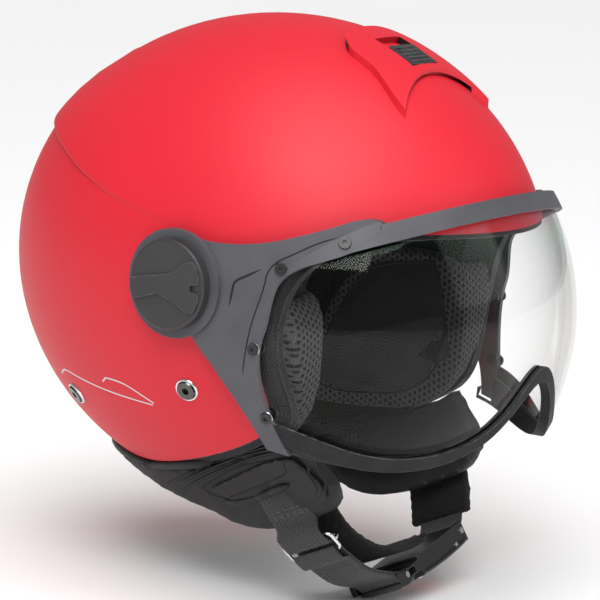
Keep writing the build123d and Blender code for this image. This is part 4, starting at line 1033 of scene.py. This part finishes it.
# ---------------------------------------------------------------- buckle details
BUCKLE_TURN = radians(12)
BUCKLE_AT = strap_point(*BUCKLE_START)
BUCKLE_X = Vector((cos(BUCKLE_TURN), sin(BUCKLE_TURN) * sin(LEAN), sin(BUCKLE_TURN) * cos(LEAN)))
BUCKLE_OUT = Vector((sin(BUCKLE_TURN), -cos(BUCKLE_TURN) * sin(LEAN), -cos(BUCKLE_TURN) * cos(LEAN)))


def buckle_point(along, across, out):
    return BUCKLE_AT + MM * (along * BUCKLE_X + across * STRAP_ACROSS + out * BUCKLE_OUT)


def moulding(name, rings, material, body):
    """A closed skin through stacked outlines of (along, across) points, each at its own height."""
    verts, faces = [], []
    for outline, out in rings:
        verts += [buckle_point(x, y, out) for x, y in outline]
    count = len(rings[0][0])
    for row in range(len(rings) - 1):
        for k in range(count):
            a, b = row * count + k, row * count + (k + 1) % count
            faces.append((a, b, b + count, a + count))
    faces.append(tuple(range(count))[::-1])
    faces.append(tuple(len(verts) - count + k for k in range(count)))
    return piece(name, verts, faces, material, body)


def rounded(x_mid, half_x, half_y, power=3.2, count=40, taper=0.0):
    """A squared-off oval outline, narrower towards +x by the taper."""
    outline = []
    for k in range(count):
        angle = 2 * pi * k / count
        c, d = cos(angle), sin(angle)
        x = half_x * abs(c) ** (2 / power) * (1 if c > 0 else -1)
        y = half_y * abs(d) ** (2 / power) * (1 if d > 0 else -1)
        outline.append((x_mid + x, y * (1 - taper * x / half_x)))
    return outline


# The finger tab on the tongue's frame, with ribs across it
tab = [(rounded(4.6, 7.6 - inset, 15.6 - inset, taper=0.12), high)
       for inset, high in ((0.6, 2.4), (0.0, 3.0), (0.2, 4.4), (1.0, 5.2), (2.2, 5.5))]
moulding("tongue_tab", tab, BUCKLE, "buckle_tongue")
for number, along in enumerate((-0.4, 2.0, 4.4, 6.8, 9.2)):
    rib = [buckle_point(along, y, 5.35) for y in range(-11, 12)]
    tube(f"tongue_rib_{number}", rib, 0.7 * MM, BUCKLE, "buckle_tongue", taper=2)

# The oval thumb recess on the buckle's body, a near-black dish of painted shade, and its raised rim
rim = [buckle_point(25 + 8.6 * cos(radians(a)), 9.4 * sin(radians(a)), 7.3) for a in range(0, 366, 6)]
tube("buckle_rim", rim, 0.85 * MM, BUCKLE, "helmet")
hollow = [(rounded(25, 8.2 - inset, 9.0 - inset, power=2.2), high)
          for inset, high in ((0.0, 7.0), (0.4, 7.35), (3.2, 7.15))]
moulding("buckle_recess", hollow, GROOVE_SHADE, "helmet")
for side in (-1, 1):
    rail = [buckle_point(x, side * 15.4, 5.2 + 0.9 * sin(pi * (x - 15) / 48)) for x in range(16, 64)]
    tube(f"buckle_rail_{'right' if side < 0 else 'left'}", rail, 1.1 * MM, BUCKLE, "helmet", taper=4)

# ---------------------------------------------------------------- hard edges
EDGE_ROUNDING = {
    "vent_cowl": 1.1, "vent_slider": 0.5, "visor_arm_right": 0.5, "visor_arm_left": 0.5, "visor_rail": 0.6,
    "visor_trim": 0.5, "pivot_cap_right": 0.35, "pivot_cap_left": 0.35,
    "buckle_tongue": 0.6, "buckle_body": 1.0, "release_lever": 0.5,
}
for name, radius in EDGE_ROUNDING.items():
    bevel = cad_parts[name].modifiers.new("rounding", "BEVEL")
    bevel.width = radius * MM
    bevel.segments = 3
    bevel.limit_method = "ANGLE"
    bevel.angle_limit = radians(40)
    bevel.harden_normals = True

# ---------------------------------------------------------------- stage, light and camera
LOW, HIGH = CAD_BOX
FLOOR_Z = min(LOW[2], HIGH[2]) - 0.5 * MM


def plain_material(name, colour, rough):
    f = Finish(name, colour, rough)
    f.tint(f.span(f.noise(3, 2), 0.3, 0.7), tuple(c * 0.985 for c in colour), 0.6)
    return f.bump(f.noise(400, 2), 0.0001, 0.1).material


FLOOR_WIDE = 6.0
floor = piece("studio_floor", [(-FLOOR_WIDE, -FLOOR_WIDE, FLOOR_Z), (FLOOR_WIDE, -FLOOR_WIDE, FLOOR_Z),
                               (FLOOR_WIDE, FLOOR_WIDE, FLOOR_Z), (-FLOOR_WIDE, FLOOR_WIDE, FLOOR_Z)],
              [(0, 1, 2, 3)], plain_material("floor", (0.93, 0.93, 0.93), 0.9), None, smooth=False)

world = bpy.data.worlds.new("studio")
world.use_nodes = True
world.node_tree.nodes["Background"].inputs["Color"].default_value = (1.0, 1.0, 1.0, 1.0)
world.node_tree.nodes["Background"].inputs["Strength"].default_value = 0.31
bpy.context.scene.world = world
bpy.context.scene.view_settings.view_transform = "Standard"


def soft_light(name, place, size, power, target=(0, 0, -0.02)):
    data = bpy.data.lights.new(name, "AREA")
    data.shape = "SQUARE"
    data.size = size
    data.energy = power
    lamp = bpy.data.objects.new(name, data)
    lamp.location = place
    lamp.rotation_euler = (Vector(target) - Vector(place)).to_track_quat("-Z", "Y").to_euler()
    bpy.context.scene.collection.objects.link(lamp)


soft_light("key", (-1.5, -0.7, 1.5), 1.2, 22)
soft_light("front_fill", (0.5, -1.9, 0.8), 1.2, 6)
overhead = bpy.data.objects.new("overhead", bpy.data.lights.new("overhead", "SUN"))
overhead.data.energy = 2.3
overhead.data.angle = radians(60)
overhead.rotation_euler = Vector((-0.35, -0.3, 1.0)).to_track_quat("Z", "Y").to_euler()
bpy.context.scene.collection.objects.link(overhead)

CAMERA_BACK = Vector((-0.8142, -0.5593, 0.1554))
CAMERA_RIGHT = Vector((0.5662, -0.8242, 0.0))
CAMERA_UP = Vector((0.1281, 0.0880, 0.9878))
CAMERA_ROLL = radians(2.35)
CAMERA_DISTANCE = 1.7
FOCAL_LENGTH = 200.0
SHIFT = (0.034, -0.062)

right = cos(CAMERA_ROLL) * CAMERA_RIGHT + sin(CAMERA_ROLL) * CAMERA_UP
up = cos(CAMERA_ROLL) * CAMERA_UP - sin(CAMERA_ROLL) * CAMERA_RIGHT
back = right.cross(up).normalized()
turn = Matrix((right, up, back)).transposed().to_4x4()
camera_data = bpy.data.cameras.new("camera")
camera_data.lens = FOCAL_LENGTH
camera_data.sensor_width = 36.0
camera_data.shift_x, camera_data.shift_y = SHIFT
camera_data.clip_end = 30
camera = bpy.data.objects.new("camera", camera_data)
camera.matrix_world = Matrix.Translation(CAMERA_BACK * CAMERA_DISTANCE) @ turn
bpy.context.scene.collection.objects.link(camera)
bpy.context.scene.camera = camera
